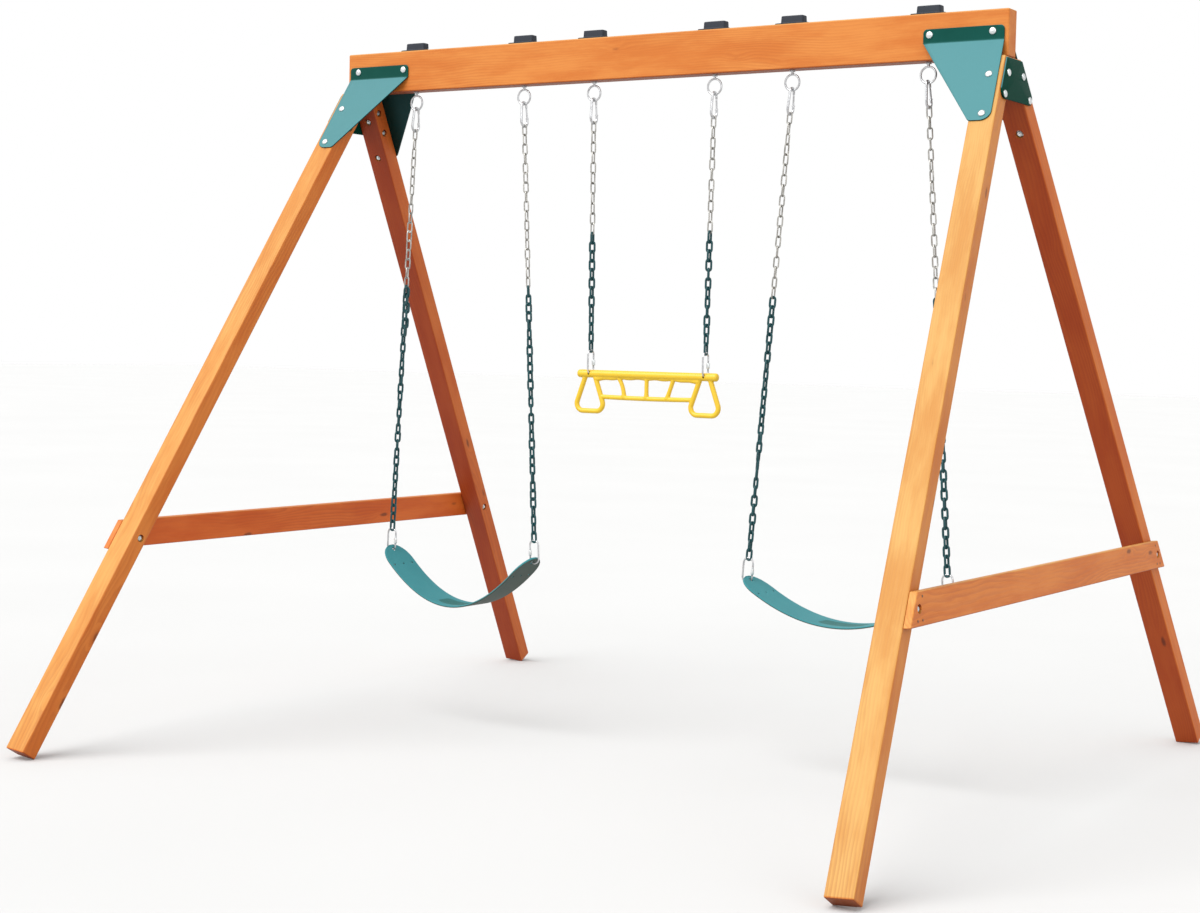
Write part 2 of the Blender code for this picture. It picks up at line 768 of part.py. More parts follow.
def add_hook(name, frame, parent):
    """A snap hook: the bent wire body, and its gate on a pivot of its own."""
    foot, top = hook_foot(), hook_top()
    hinge, tip = gate_line()
    gap = GATE_WIRE + HOOK_WIRE
    nose = (tip[0], tip[1] + TOUCH + 0.001)
    heel = (hinge[0], hinge[1] - TOUCH - 0.001)
    path = [nose]
    path += arc((0, top - HOOK_TOP_RADIUS), HOOK_TOP_RADIUS, 0, 180, 9)
    path += arc((0, foot + HOOK_FOOT_RADIUS), HOOK_FOOT_RADIUS, 180, 360, 9)
    path.append(heel)
    wire = tube([(0, y, z) for y, z in path], HOOK_WIRE)
    wire.transform(frame)
    add_part(name, wire, "zinc_steel", frame @ Vector((0, 0, 0)), parent, smooth=True)
    place = frame @ Vector((0, hinge[0], hinge[1]))
    pivot = add_pivot(name + "_gate_pivot", place, parent)
    gate = rod((0, hinge[0], hinge[1]), (0, tip[0], tip[1]), GATE_WIRE, 8)
    gate.transform(frame)
    add_part(name.replace("hook", "gate"), gate, "zinc_steel", place, pivot, smooth=True)


def oval(length, width, wire, steps=6):
    """The centre line of a link, as (across, up) with its top at zero."""
    radius = width / 2 - wire
    drop = length - 2 * wire
    upper = arc((0, -radius), radius, 0, 180, steps)
    lower = arc((0, radius - drop), radius, 180, 360, steps)
    return upper + lower


def add_chain(name, frame, top, bottom, foot_across_x, parent):
    """A chain down a hanging line: its two end links, and a bar in place of the links between."""
    upper = oval(LINK_LENGTH, CHAIN_WIDTH, CHAIN_WIRE)
    head = tube([(a, 0, top + b) for a, b in upper], CHAIN_WIRE, closed=True)
    lower = oval(COATED_LINK_LENGTH, COATED_WIDTH, COATED_WIRE)
    lift = bottom + COATED_LINK_LENGTH - 2 * COATED_WIRE
    if foot_across_x:
        points = [(a, 0, lift + b) for a, b in lower]
    else:
        points = [(0, a, lift + b) for a, b in lower]
    foot = tube(points, COATED_WIRE, closed=True)
    core = rod((0, 0, lift), (0, 0, top - LINK_LENGTH + 2 * CHAIN_WIRE), CORE_RADIUS, 8)
    for piece in (head, foot, core):
        piece.transform(frame)
    chain = add_part(name, core, "coated_chain", frame @ Vector((0, 0, 0)), parent)
    boolean(chain, add_tool(name + "_head", head), "UNION")
    boolean(chain, add_tool(name + "_foot", foot), "UNION")


def add_quick_link(name, frame, top, across_x, sleeve_side, parent):
    """A quick link, open on one long side, and the threaded sleeve that closes it."""
    half = QUICK_WIDTH / 2 - QUICK_WIRE
    points = oval(QUICK_LENGTH, QUICK_WIDTH, QUICK_WIRE)
    middle = -(QUICK_LENGTH - 2 * QUICK_WIRE) / 2
    path = [(half, middle)] + points + [(half, middle - QUICK_GAP)]
    turn = Matrix.Diagonal((sleeve_side, 1, 1, 1))
    if not across_x:
        turn = Matrix.Rotation(math.pi / 2, 4, "Z") @ turn
    wire = tube([(a, 0, top + b) for a, b in path], QUICK_WIRE)
    sleeve = sleeve_solid(half, top + middle - QUICK_GAP / 2)
    for piece in (wire, sleeve):
        piece.transform(frame @ turn)
    place = frame @ Vector((0, 0, top))
    add_part(name, wire, "zinc_steel", place, parent, smooth=True)
    seat = frame @ turn @ Vector((half, 0, top + middle - QUICK_GAP / 2))
    pivot = add_pivot(name + "_sleeve_pivot", seat, parent)
    add_part(name.replace("quick_link", "sleeve"), sleeve, "zinc_steel", seat, pivot)


def sleeve_solid(across, level):
    """A hexagonal sleeve with a round bore, about a link's straight side."""
    inner = QUICK_WIRE + SLIDE
    low, high = level - SLEEVE_LENGTH / 2, level + SLEEVE_LENGTH / 2
    profile = ((inner, low), (SLEEVE_RADIUS, low), (SLEEVE_RADIUS, high), (inner, high), (inner, low))
    return lathe(profile, (across, 0, 0), (0, 0, 1), 6)


def belt_curve(span):
    """The steepness of the parabola that a belt of the set length hangs in over a span."""
    half = span / 2
    low, high = 1e-3, 60.0
    for _ in range(80):
        steep = (low + high) / 2
        rise = 2 * steep * half
        length = half * math.sqrt(1 + rise * rise) + math.asinh(rise) / (2 * steep)
        if length < BELT_SLOT_SPACING:
            low = steep
        else:
            high = steep
    return steep


def belt_table(span):
    """Arc lengths from the belt's middle with their (x, z), out past its tip."""
    steep = belt_curve(span)
    x = np.linspace(0, span, 2001)
    z = steep * x * x
    length = np.concatenate([[0.0], np.cumsum(np.hypot(np.diff(x), np.diff(z)))])
    return length, x, z


def belt_solid(span):
    """The belt about its slots' level, hung in a parabola, with round ends."""
    length, x, z = belt_table(span)
    slot = BELT_SLOT_SPACING / 2
    end = slot + BELT_TIP
    round_end = BELT_WIDTH / 2
    plain = end - round_end
    along = np.concatenate([
        end - round_end * (1 - np.cos(np.linspace(0.08, math.pi / 2, BELT_END_CELLS))),
        np.linspace(plain, -plain, BELT_CELLS)[1:-1],
        -end + round_end * (1 - np.cos(np.linspace(math.pi / 2, 0.08, BELT_END_CELLS))),
    ])
    past = np.clip(np.abs(along) - plain, 0, round_end)
    half = np.sqrt(round_end**2 - past**2)
    columns = np.linspace(-1, 1, BELT_ACROSS + 1)
    bm = bmesh.new()
    bmesh.ops.create_grid(bm, x_segments=len(along) - 1, y_segments=BELT_ACROSS, size=1.0)
    bm.verts.ensure_lookup_table()
    count = len(along)
    order = sorted(bm.verts, key=lambda v: (round(v.co.y, 5), round(v.co.x, 5)))
    base = np.interp(slot, length, z)
    for index, vert in enumerate(order):
        row, column = divmod(index, count)
        place = along[column]
        out = np.interp(abs(place), length, x) * np.sign(place)
        up = np.interp(abs(place), length, z) - base
        vert.co = (out, columns[row] * half[column], up)
    bm.normal_update()
    return bm


def slot_geometry(span):
    """A slot's (x, z) from the belt's middle, and the belt's direction towards its tip there."""
    length, x, z = belt_table(span)
    slot = BELT_SLOT_SPACING / 2
    place = Vector((np.interp(slot, length, x), 0, 0))
    slope = 2 * belt_curve(span) * place.x
    return place, Vector((1, 0, slope)).normalized()


def add_belt(name, span, place, parent):
    """A belt seat with a slot near each end, hung at its slots' level."""
    slot, direction = slot_geometry(span)
    sheet = belt_solid(span)
    mesh = bpy.data.meshes.new("belt")
    sheet.to_mesh(mesh)
    sheet.free()
    bm = bmesh.new()
    bm.from_mesh(mesh)
    bpy.data.meshes.remove(mesh)
    bmesh.ops.translate(bm, vec=place, verts=bm.verts)
    belt = add_part(name, solidify_middle(bm, BELT_THICKNESS), "green_rubber", place, parent, smooth=True)
    slots = []
    for side in (1, -1):
        frame = Matrix.Diagonal((side, 1, 1, 1))
        turn = Matrix.Rotation(-math.atan2(direction.z, direction.x), 4, "Y")
        cut = box(
            (-SLOT_LENGTH / 2, -SLOT_WIDTH / 2, -0.03), (SLOT_LENGTH / 2, SLOT_WIDTH / 2, 0.03)
        )
        cut.transform(Matrix.Translation(Vector(place)) @ frame @ Matrix.Translation(slot) @ turn)
        slots.append(cut)
    boolean(belt, add_tool(name + "_slots", merge(*slots)), "DIFFERENCE")


def solidify_middle(bm, thickness):
    """Thickens a sheet to both sides of itself."""
    bmesh.ops.recalc_face_normals(bm, faces=bm.faces)
    mesh = bpy.data.meshes.new("sheet")
    bm.to_mesh(mesh)
    bm.free()
    sheet = bpy.data.objects.new("sheet", mesh)
    modifier = sheet.modifiers.new("thickness", "SOLIDIFY")
    modifier.thickness = thickness
    modifier.offset = 0.0
    PARTS.objects.link(sheet)
    bpy.context.view_layer.update()
    graph = bpy.context.evaluated_depsgraph_get()
    made = bpy.data.meshes.new_from_object(sheet.evaluated_get(graph))
    bpy.data.objects.remove(sheet)
    thick = bmesh.new()
    thick.from_mesh(made)
    bpy.data.meshes.remove(made)
    return thick


def chain_top():
    """The height of a chain's top wire, over the hook's bottom wire."""
    return hook_foot() + HOOK_WIRE + CHAIN_WIRE + SLIDE


def add_belt_swing(name):
    """One belt swing: hooks, chains, quick links and the belt."""
    centre = SWING_CENTRES[name]
    span = BELT_SPANS[name]
    slot, direction = slot_geometry(span)
    radius = QUICK_WIDTH / 2 - QUICK_WIRE
    loop_x = slot.x + direction.x * radius
    loop_drop = BELT_HANG + QUICK_LENGTH - 2 * QUICK_WIRE - radius
    lean = math.asin((loop_x - HANGER_SPACING / 2) / loop_drop)
    body = add_pivot(name, (centre, 0, PIVOT_LEVEL))
    seat_level = PIVOT_LEVEL - BELT_HANG * math.cos(lean)
    seat = add_pivot(name + "_seat", (centre, 0, seat_level), body)
    chain_foot = -BELT_HANG - QUICK_WIRE - COATED_WIRE - SLIDE
    for end, side in SIDES.items():
        pivot = (centre + side * HANGER_SPACING / 2, 0, PIVOT_LEVEL)
        frame = hang_frame(pivot, -side * lean)
        add_hook(f"{name}_hook_{end}", frame, body)
        add_chain(f"{name}_chain_{end}", frame, chain_top(), chain_foot, False, body)
        add_quick_link(f"{name}_quick_link_{end}", frame, -BELT_HANG, True, -side, seat)
    slot_level = PIVOT_LEVEL - loop_drop * math.cos(lean) - direction.z * radius
    add_belt(name + "_belt", span, (centre, 0, slot_level), seat)


def add_trapeze():
    """The trapeze swing: hooks, chains, quick links, and the bar with its ring handles."""
    name = "trapeze"
    centre = SWING_CENTRES[name]
    radius = QUICK_WIDTH / 2 - QUICK_WIRE
    lean = math.asin((TRAPEZE_SPREAD - HANGER_SPACING) / 2 / TRAPEZE_HANG)
    body = add_pivot(name, (centre, 0, PIVOT_LEVEL))
    bar_pivot = PIVOT_LEVEL - TRAPEZE_HANG * math.cos(lean) - radius
    seat = add_pivot(name + "_bar_pivot", (centre, 0, bar_pivot), body)
    chain_foot = -TRAPEZE_HANG - QUICK_WIRE - COATED_WIRE - SLIDE
    for end, side in SIDES.items():
        pivot = (centre + side * HANGER_SPACING / 2, 0, PIVOT_LEVEL)
        frame = hang_frame(pivot, -side * lean)
        add_hook(f"{name}_hook_{end}", frame, body)
        add_chain(f"{name}_chain_{end}", frame, chain_top(), chain_foot, True, body)
        upright = hang_frame(frame @ Vector((0, 0, -TRAPEZE_HANG)), 0)
        add_quick_link(f"{name}_quick_link_{end}", upright, 0, False, 1, seat)
    drop = QUICK_LENGTH - 2 * QUICK_WIRE
    level = PIVOT_LEVEL - TRAPEZE_HANG * math.cos(lean) - drop
    add_trapeze_bar((centre, 0, level), seat)


def handle_path():
    """A ring handle's centre line about the bar's middle: narrow at the bar, round corners below."""
    half, top = HANDLE_WIDTH / 2, HANDLE_TOP_WIDTH / 2
    shape = outline([
        (-top, 0, 0), (-half, -HANDLE_DROP, HANDLE_CORNER),
        (half, -HANDLE_DROP, HANDLE_CORNER), (top, 0, 0),
    ])
    return shape


def handle_edge(drop):
    """Half the width of a ring handle's centre line at a drop under the bar."""
    half, top = HANDLE_WIDTH / 2, HANDLE_TOP_WIDTH / 2
    return top + (half - top) * drop / HANDLE_DROP


def add_trapeze_bar(place, parent):
    """The moulded bar, its two ring handles, and the thin rail and struts between them."""
    bm = rod((-BAR_LENGTH / 2, 0, 0), (BAR_LENGTH / 2, 0, 0), BAR_RADIUS, 16)
    bm.transform(Matrix.Translation(Vector(place)))
    bar = add_part("trapeze_bar", bm, "yellow_plastic", place, parent, smooth=True)
    pieces = []
    for side in (-1, 1):
        middle = side * TRAPEZE_SPREAD / 2
        pieces.append(tube([(middle + a, 0, b) for a, b in handle_path()], HANDLE_TUBE))
    reach = TRAPEZE_SPREAD / 2 - handle_edge(RAIL_DROP)
    pieces.append(rod((-reach, 0, -RAIL_DROP), (reach, 0, -RAIL_DROP), RAIL_TUBE, 8))
    for high, low in STRUT_OFFSETS:
        pieces.append(rod((high, 0, 0), (low, 0, -RAIL_DROP), STRUT_TUBE, 8))
    for index, piece in enumerate(pieces):
        piece.transform(Matrix.Translation(Vector(place)))
        boolean(bar, add_tool(f"trapeze_piece_{index}", piece), "UNION")
    cutters = merge(*[link_slot(side * TRAPEZE_SPREAD / 2) for side in (-1, 1)])
    cutters.transform(Matrix.Translation(Vector(place)))
    boolean(bar, add_tool("trapeze_slots", cutters), "DIFFERENCE")


def link_slot(x):
    """A slot through the bar, tall enough for the bend of the quick link that holds it."""
    radius = QUICK_WIDTH / 2 - QUICK_WIRE
    rise = radius - math.sqrt(radius**2 - BAR_RADIUS**2)
    half = QUICK_WIRE + LINK_CLEARANCE
    return box((x - half, -BAR_RADIUS - 0.02, -half), (x + half, BAR_RADIUS + 0.02, rise + half))


add_beam()
add_legs()
add_braces()
add_brackets()
add_end_plates()
add_hangers()
add_belt_swing("left_swing")
add_trapeze()
add_belt_swing("right_swing")
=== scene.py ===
"""Timber A-frame swing set: the finished pieces and their finishes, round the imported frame.

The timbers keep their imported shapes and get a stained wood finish. Every steel, rubber and plastic
piece is made again here, finer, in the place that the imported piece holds.
"""

from __future__ import annotations

import json
import logging
import math
from dataclasses import dataclass, field
from enum import Enum
from typing import Any, Sequence

import bmesh
import bpy
import numpy as np
from mathutils import Matrix, Vector

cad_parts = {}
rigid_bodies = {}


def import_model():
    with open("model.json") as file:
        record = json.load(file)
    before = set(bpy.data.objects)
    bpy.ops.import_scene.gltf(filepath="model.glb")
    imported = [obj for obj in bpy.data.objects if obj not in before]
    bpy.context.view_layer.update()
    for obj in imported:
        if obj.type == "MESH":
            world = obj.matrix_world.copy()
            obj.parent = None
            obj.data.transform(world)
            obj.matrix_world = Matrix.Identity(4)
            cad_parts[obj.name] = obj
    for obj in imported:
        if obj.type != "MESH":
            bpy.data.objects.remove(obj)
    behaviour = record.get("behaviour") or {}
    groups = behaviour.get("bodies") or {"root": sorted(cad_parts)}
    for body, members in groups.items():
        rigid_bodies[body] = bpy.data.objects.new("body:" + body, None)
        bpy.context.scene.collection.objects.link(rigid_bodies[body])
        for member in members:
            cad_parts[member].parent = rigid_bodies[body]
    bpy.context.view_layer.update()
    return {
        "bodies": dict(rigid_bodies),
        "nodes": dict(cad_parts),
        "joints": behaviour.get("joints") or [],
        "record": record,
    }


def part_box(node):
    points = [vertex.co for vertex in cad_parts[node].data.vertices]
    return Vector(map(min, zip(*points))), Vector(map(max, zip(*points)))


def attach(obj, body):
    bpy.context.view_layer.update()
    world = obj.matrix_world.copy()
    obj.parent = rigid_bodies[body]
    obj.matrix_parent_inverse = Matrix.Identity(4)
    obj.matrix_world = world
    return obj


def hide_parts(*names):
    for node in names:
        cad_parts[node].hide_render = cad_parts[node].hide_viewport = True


LOG = logging.getLogger("swing_set")
X_AXIS = np.array((1.0, 0.0, 0.0))
Y_AXIS = np.array((0.0, 1.0, 0.0))
Z_AXIS = np.array((0.0, 0.0, 1.0))
WELD = 2e-6
SMOOTH_ANGLE = math.radians(38)
TOUCH = 0.0003
LEG_TILT = math.radians(31.26)
LEG_SPLAY = math.radians(5.01)
BEND_RISE = 0.049
RING_BOLTS = 6
SPARE_LINKS = 6
NUT_COLUMNS = 24


class Plane(Enum):
    """The upright plane that a bent wire lies in."""

    ALONG_BEAM = "xz"
    ACROSS_BEAM = "yz"


class End(Enum):
    """The two ends of a swing."""

    LEFT = -1
    RIGHT = 1

    @property
    def word(self) -> str:
        """The end's name in a piece's name."""
        return self.name.lower()


def side_word(side: int) -> str:
    """A side's name in a piece's name."""
    return "left" if side < 0 else "right"


def corner_word(side: int, face: int) -> str:
    """A corner's name in a piece's name."""
    return ("front" if face > 0 else "back") + "_" + side_word(side)


# ---------------------------------------------------------------- shader maths


class Graph:
    """The node graph of one material."""

    def __init__(self, name: str) -> None:
        """Starts a material with one Principled shader.

        Args:
            name: the material's name.
        """
        self.material = bpy.data.materials.new(name)
        self.material.use_nodes = True
        self.tree = self.material.node_tree
        self.shader = self.tree.nodes["Principled BSDF"]

    def node(self, kind: str, settings: dict[str, Any] | None = None, **inputs: Any) -> "Value":
        """Adds a node and wires its sockets.

        Args:
            kind: the node's type, such as ShaderNodeTexNoise.
            settings: the node's own properties, set before its sockets.
            **inputs: a number, a tuple or a Value for each socket, by its name with _ for spaces.

        Returns:
            The node's first enabled output.
        """
        made = self.tree.nodes.new(kind)
        for key, setting in (settings or {}).items():
            if key == "stops":
                self._set_stops(made, setting)
            else:
                setattr(made, key, setting)
        for key, item in inputs.items():
            self._feed(self._socket(made, key), item)
        out = next(socket for socket in made.outputs if socket.enabled)
        return Value(self, out)

    @staticmethod
    def _socket(made: bpy.types.Node, key: str) -> bpy.types.NodeSocket:
        """Finds an enabled input by its name, or by its number written in_0, in_1."""
        if key.startswith("in_"):
            return made.inputs[int(key[3:])]
        name = key.replace("_", " ")
        return next(s for s in made.inputs if s.name == name and s.enabled)

    @staticmethod
    def _set_stops(ramp: bpy.types.Node, stops: Sequence[tuple[float, tuple]]) -> None:
        """Gives a Color Ramp its stops, as (place, colour).

        Args:
            ramp: the Color Ramp node.
            stops: each stop's place from 0 to 1, and its colour.
        """
        elements = ramp.color_ramp.elements
        while len(elements) < len(stops):
            elements.new(0.5)
        for element, (place, colour) in zip(elements, stops):
            element.position = place
            element.color = (*colour, 1.0)

    def _feed(self, socket: bpy.types.NodeSocket, item: Any) -> None:
        """Links a Value to a socket, or sets a plain value on it."""
        if isinstance(item, Value):
            self.tree.links.new(item.socket, socket)
        else:
            socket.default_value = item

    def maths(self, operation: str, *items: Any) -> "Value":
        """A Math node on up to three numbers or Values."""
        inputs = {f"in_{index}": item for index, item in enumerate(items)}
        return self.node("ShaderNodeMath", {"operation": operation}, **inputs)

    def place(
        self, origin: Sequence[float] = (0, 0, 0), turn: Sequence[float] = (0, 0, 0)
    ) -> "Value":
        """Object coordinates in a frame with the given origin and turn.

        Args:
            origin: the frame's origin.
            turn: its turn about X, Y and Z, in radians.

        Returns:
            The coordinates.
        """
        source = self.tree.nodes.new("ShaderNodeTexCoord")
        found = Value(self, source.outputs["Object"])
        settings = {"vector_type": "TEXTURE"}
        return self.node(
            "ShaderNodeMapping", settings, Vector=found, Location=tuple(origin),
            Rotation=tuple(turn),
        )

    def stretch(self, vector: "Value", scale: Sequence[float]) -> "Value":
        """A vector times a fixed vector."""
        return self.node(
            "ShaderNodeVectorMath", {"operation": "MULTIPLY"}, in_0=vector, in_1=tuple(scale)
        )

    def noise(
        self, vector: "Value", scale: float, detail: float = 3.0, rough: float = 0.5
    ) -> "Value":
        """Noise from 0 to 1."""
        return self.node(
            "ShaderNodeTexNoise", None, Vector=vector, Scale=scale, Detail=detail, Roughness=rough
        )

    def mix(self, share: Any, first: Any, second: Any, blend: str = "MIX") -> "Value":
        """Two colours mixed by a share from 0 to 1.

        Args:
            share: how much of the second colour.
            first: the first colour.
            second: the second colour.
            blend: the kind of mix.

        Returns:
            The mixed colour.
        """
        made = self.tree.nodes.new("ShaderNodeMix")
        made.data_type = "RGBA"
        made.blend_type = blend
        self._feed(made.inputs[0], share)
        self._feed(made.inputs[6], (*first, 1.0) if isinstance(first, tuple) else first)
        self._feed(made.inputs[7], (*second, 1.0) if isinstance(second, tuple) else second)
        return Value(self, made.outputs[2])

    def step(self, item: Any, low: float, high: float) -> "Value":
        """A smooth step from 0 at low to 1 at high."""
        settings = {"interpolation_type": "SMOOTHSTEP"}
        return self.node("ShaderNodeMapRange", settings, Value=item, From_Min=low, From_Max=high)

    def upward(self) -> "Value":
        """How far a surface faces up: 1 up, 0 level, -1 down."""
        normal = self.node("ShaderNodeNewGeometry").output("Normal")
        return self.node("ShaderNodeSeparateXYZ", None, Vector=normal).output("Z")

    def ramp(self, share: Any, stops: Sequence[tuple[float, tuple]]) -> "Value":
        """A Color Ramp's colour at a share from 0 to 1."""
        return self.node("ShaderNodeValToRGB", {"stops": stops}, Fac=share)

    def bump(self, height: "Value", distance: float, strength: float = 1.0) -> None:
        """Feeds a height to the shader's normal, as relief of a distance in metres."""
        normal = self.node(
            "ShaderNodeBump", None, Height=height, Distance=distance, Strength=strength)
        self._feed(self.shader.inputs["Normal"], normal)

    def finish(self, **inputs: Any) -> bpy.types.Material:
        """Sets the shader's sockets and returns the material."""
        for key, item in inputs.items():
            if isinstance(item, tuple):
                item = (*item, 1.0)
            self._feed(self._socket(self.shader, key), item)
        return self.material


class Value:
    """One socket of a graph, on which Python's operators add Math nodes."""

    def __init__(self, graph: Graph, socket: bpy.types.NodeSocket) -> None:
        """Wraps an output socket of a graph."""
        self.graph = graph
        self.socket = socket

    def __add__(self, other: Any) -> "Value":
        """self + other."""
        return self.graph.maths("ADD", self, other)

    __radd__ = __add__

    def __sub__(self, other: Any) -> "Value":
        """self - other."""
        return self.graph.maths("SUBTRACT", self, other)

    def __rsub__(self, other: Any) -> "Value":
        """other - self."""
        return self.graph.maths("SUBTRACT", other, self)

    def __mul__(self, other: Any) -> "Value":
        """self * other."""
        return self.graph.maths("MULTIPLY", self, other)

    __rmul__ = __mul__

    def __pow__(self, other: Any) -> "Value":
        """self ** other."""
        return self.graph.maths("POWER", self, other)

    def output(self, name: str) -> "Value":
        """Another output of the same node."""
        return Value(self.graph, self.socket.node.outputs[name])


# -------------------------------------------------------------------- finishes


@dataclass(frozen=True)
class StainedTimber:
    """Softwood under an orange stain: growth rings along the board, fibres, and a few knots.

    Attributes:
        name: the material's name.
        origin: a point on the board's centre line.
        turn: the turn that takes X along the board, Y across its width and Z through it.
        pith: where the tree's middle lay, across and through the board, in metres.
        seed: moves the pattern, so that no two boards match.
        tone: the board's own tone, which its colours are multiplied by.
        pale: the early wood's colour.
        warm: the early wood's other colour.
        late: the colour of the late wood's lines.
        fleck: the colour of short bright fibres.
        knot: the colour of a knot's eye.
        ring_spacing: how far apart the growth rings are.
        weather: painted light and shade that the colour is multiplied by, from faces that look down
            (painted shade) to those that look up (painted highlight).
    """

    name: str
    origin: tuple[float, float, float]
    turn: tuple[float, float, float]
    pith: tuple[float, float]
    seed: float
    tone: tuple[float, float, float] = (1.0, 1.0, 1.0)
    pale: tuple[float, float, float] = (0.520, 0.198, 0.050)
    warm: tuple[float, float, float] = (0.455, 0.140, 0.026)
    late: tuple[float, float, float] = (0.300, 0.073, 0.011)
    fleck: tuple[float, float, float] = (0.600, 0.290, 0.090)
    knot: tuple[float, float, float] = (0.120, 0.030, 0.008)
    ring_spacing: float = 0.0085
    weather: tuple[tuple[float, tuple[float, float, float]], ...] = (
        (0.00, (0.42, 0.25, 0.17)), (0.24, (0.60, 0.33, 0.22)), (0.42, (0.96, 0.84, 0.62)),
        (0.52, (1.00, 0.92, 0.70)), (0.60, (1.00, 0.96, 0.78)), (0.76, (0.97, 1.36, 1.50)),
        (1.00, (0.92, 1.30, 1.40)),
    )

    def material(self) -> bpy.types.Material:
        """The wood, whose rings are the distance from the pith, bent by slow noise and by knots.

        Painted light and shade by facing: the colour is paler on the faces that look up, as a
        painted highlight, and darker and redder on those that look down, as painted shade.
        """
        g = Graph(self.name)
        board = g.place(self.origin, self.turn)
        moved = g.node("ShaderNodeVectorMath", {"operation": "ADD"}, in_0=board,
                       in_1=(self.seed * 3.7, 0.0, 0.0))
        sway = g.noise(g.stretch(moved, (1.3, 4.0, 4.0)), 1.0, 2.0) - 0.5
        waver = g.noise(g.stretch(moved, (6.0, 30.0, 30.0)), 1.0, 3.0) - 0.5
        knots, eye = self._knots(g, moved)
        parts = g.node("ShaderNodeSeparateXYZ", None, Vector=board)
        across = parts.output("Y") - self.pith[0]
        through = parts.output("Z") - self.pith[1]
        reach = g.maths("SQRT", across * across + through * through)
        rings = (reach + sway * 0.100 + waver * 0.011 + knots * 0.014) * (1.0 / self.ring_spacing)
        saw = g.maths("FRACT", rings)
        latewood = g.step(saw, 0.10, 0.86) * (1.0 - g.step(saw, 0.86, 1.0))
        fibre = g.noise(g.stretch(moved, (8.0, 380.0, 380.0)), 1.0, 4.0, 0.62)
        fleck = g.noise(g.stretch(moved, (26.0, 800.0, 800.0)), 1.0, 2.0, 0.7)
        patch = g.noise(g.stretch(moved, (3.2, 15.0, 15.0)), 1.0, 4.0, 0.6)
        blotch = g.noise(g.stretch(moved, (1.4, 6.0, 6.0)), 1.0, 2.0)
        base = g.mix(g.step(patch, 0.34, 0.66), self._toned(self.pale), self._toned(self.warm))
        clear = g.step(blotch, 0.35, 0.70)
        ringed = g.mix(latewood * (0.08 + 0.36 * clear), base, self._toned(self.late))
        grained = g.mix(g.step(fibre, 0.54, 0.80) * 0.36, ringed, self._toned(self.late))
        flecked = g.mix(g.step(fleck, 0.64, 0.80) * 0.28, grained, self._toned(self.fleck))
        knotted = g.mix(eye * 0.80, flecked, self.knot)
        # Painted light and shade: the colour is multiplied by a ramp on how far each face looks up.
        weather = g.ramp(g.upward() * 0.5 + 0.5, self.weather)
        colour = g.mix(1.0, knotted, weather, "MULTIPLY")
        g.bump(fibre * 0.8 - latewood * 0.10 - eye * 0.6, 0.0005, 0.5)
        sheen = 0.44 + 0.20 * fibre - 0.06 * latewood
        return g.finish(Base_Color=colour, Roughness=sheen, Specular_IOR_Level=0.22)

    def _toned(self, colour: tuple[float, float, float]) -> tuple[float, float, float]:
        """A colour times the board's own tone."""
        return tuple(part * tone for part, tone in zip(colour, self.tone))

    def _knots(self, g: Graph, vector: Value) -> tuple[Value, Value]:
        """How far the grain bends round knots, and the knots' dark eyes, from sparse cells.

        Args:
            g: the material's graph.
            vector: the board's coordinates.

        Returns:
            The bend and the eyes, each from 0 to 1.
        """
        cells = g.node("ShaderNodeTexVoronoi", None, Vector=g.stretch(vector, (5.2, 15.0, 15.0)),
                       Scale=1.0, Randomness=1.0)
        chance = g.node("ShaderNodeSeparateColor", None, Color=cells.output("Color"))
        chosen = g.step(chance, 0.60, 0.64)
        bend = (1.0 - g.step(cells, 0.0, 0.42)) * chosen
        rim = g.noise(g.stretch(vector, (60.0, 160.0, 160.0)), 1.0, 2.0) * 0.06
        eye = (1.0 - g.step(cells + rim, 0.085, 0.175)) * chosen
        return bend, eye


@dataclass(frozen=True)
class PowderCoat:
    """Green powder coat on steel plate: a fine orange peel, with a painted sheen where it faces up
    and painted shade where it faces down.
    """

    name: str = "green_powder_coat"
    deep: tuple[float, float, float] = (0.0004, 0.030, 0.018)
    light: tuple[float, float, float] = (0.0008, 0.040, 0.025)
    # Painted sheen: a pale teal that stands in for the sky's reflection on up-facing plate.
    faded: tuple[float, float, float] = (0.052, 0.152, 0.162)
    # Painted shade: a near-black green for plate that faces down.
    shaded: tuple[float, float, float] = (0.001, 0.012, 0.010)
    gloss: float = 0.30

    def material(self) -> bpy.types.Material:
        """The coat, from slow and fine noise, with a painted sheen on up-facing plate and painted
        shade under it.
        """
        g = Graph(self.name)
        place = g.place()
        cloud = g.noise(place, 14.0, 3.0)
        peel = g.noise(place, 900.0, 2.0)
        scuff = g.step(g.noise(g.stretch(place, (60.0, 60.0, 240.0)), 1.0, 4.0, 0.7), 0.66, 0.80)
        upward = g.upward()
        coat = g.mix(cloud, self.deep, self.light)
        # Painted sheen: up-facing plate is mixed towards the pale teal.
        with_painted_sheen = g.mix(g.step(upward, 0.20, 0.50) * (0.92 + 0.16 * cloud), coat, self.faded)
        # Painted shade: down-facing plate is mixed towards the near-black green.
        with_painted_shade = g.mix(g.step(0.0 - upward, 0.20, 0.50), with_painted_sheen, self.shaded)
        colour = g.mix(scuff * 0.12, with_painted_shade, (0.05, 0.17, 0.16))
        g.bump(peel, 0.00025, 0.5)
        rough = 0.34 + 0.12 * cloud + 0.10 * scuff
        return g.finish(Base_Color=colour, Roughness=rough, Specular_IOR_Level=self.gloss,
                        Specular_Tint=(0.25, 0.92, 1.0))


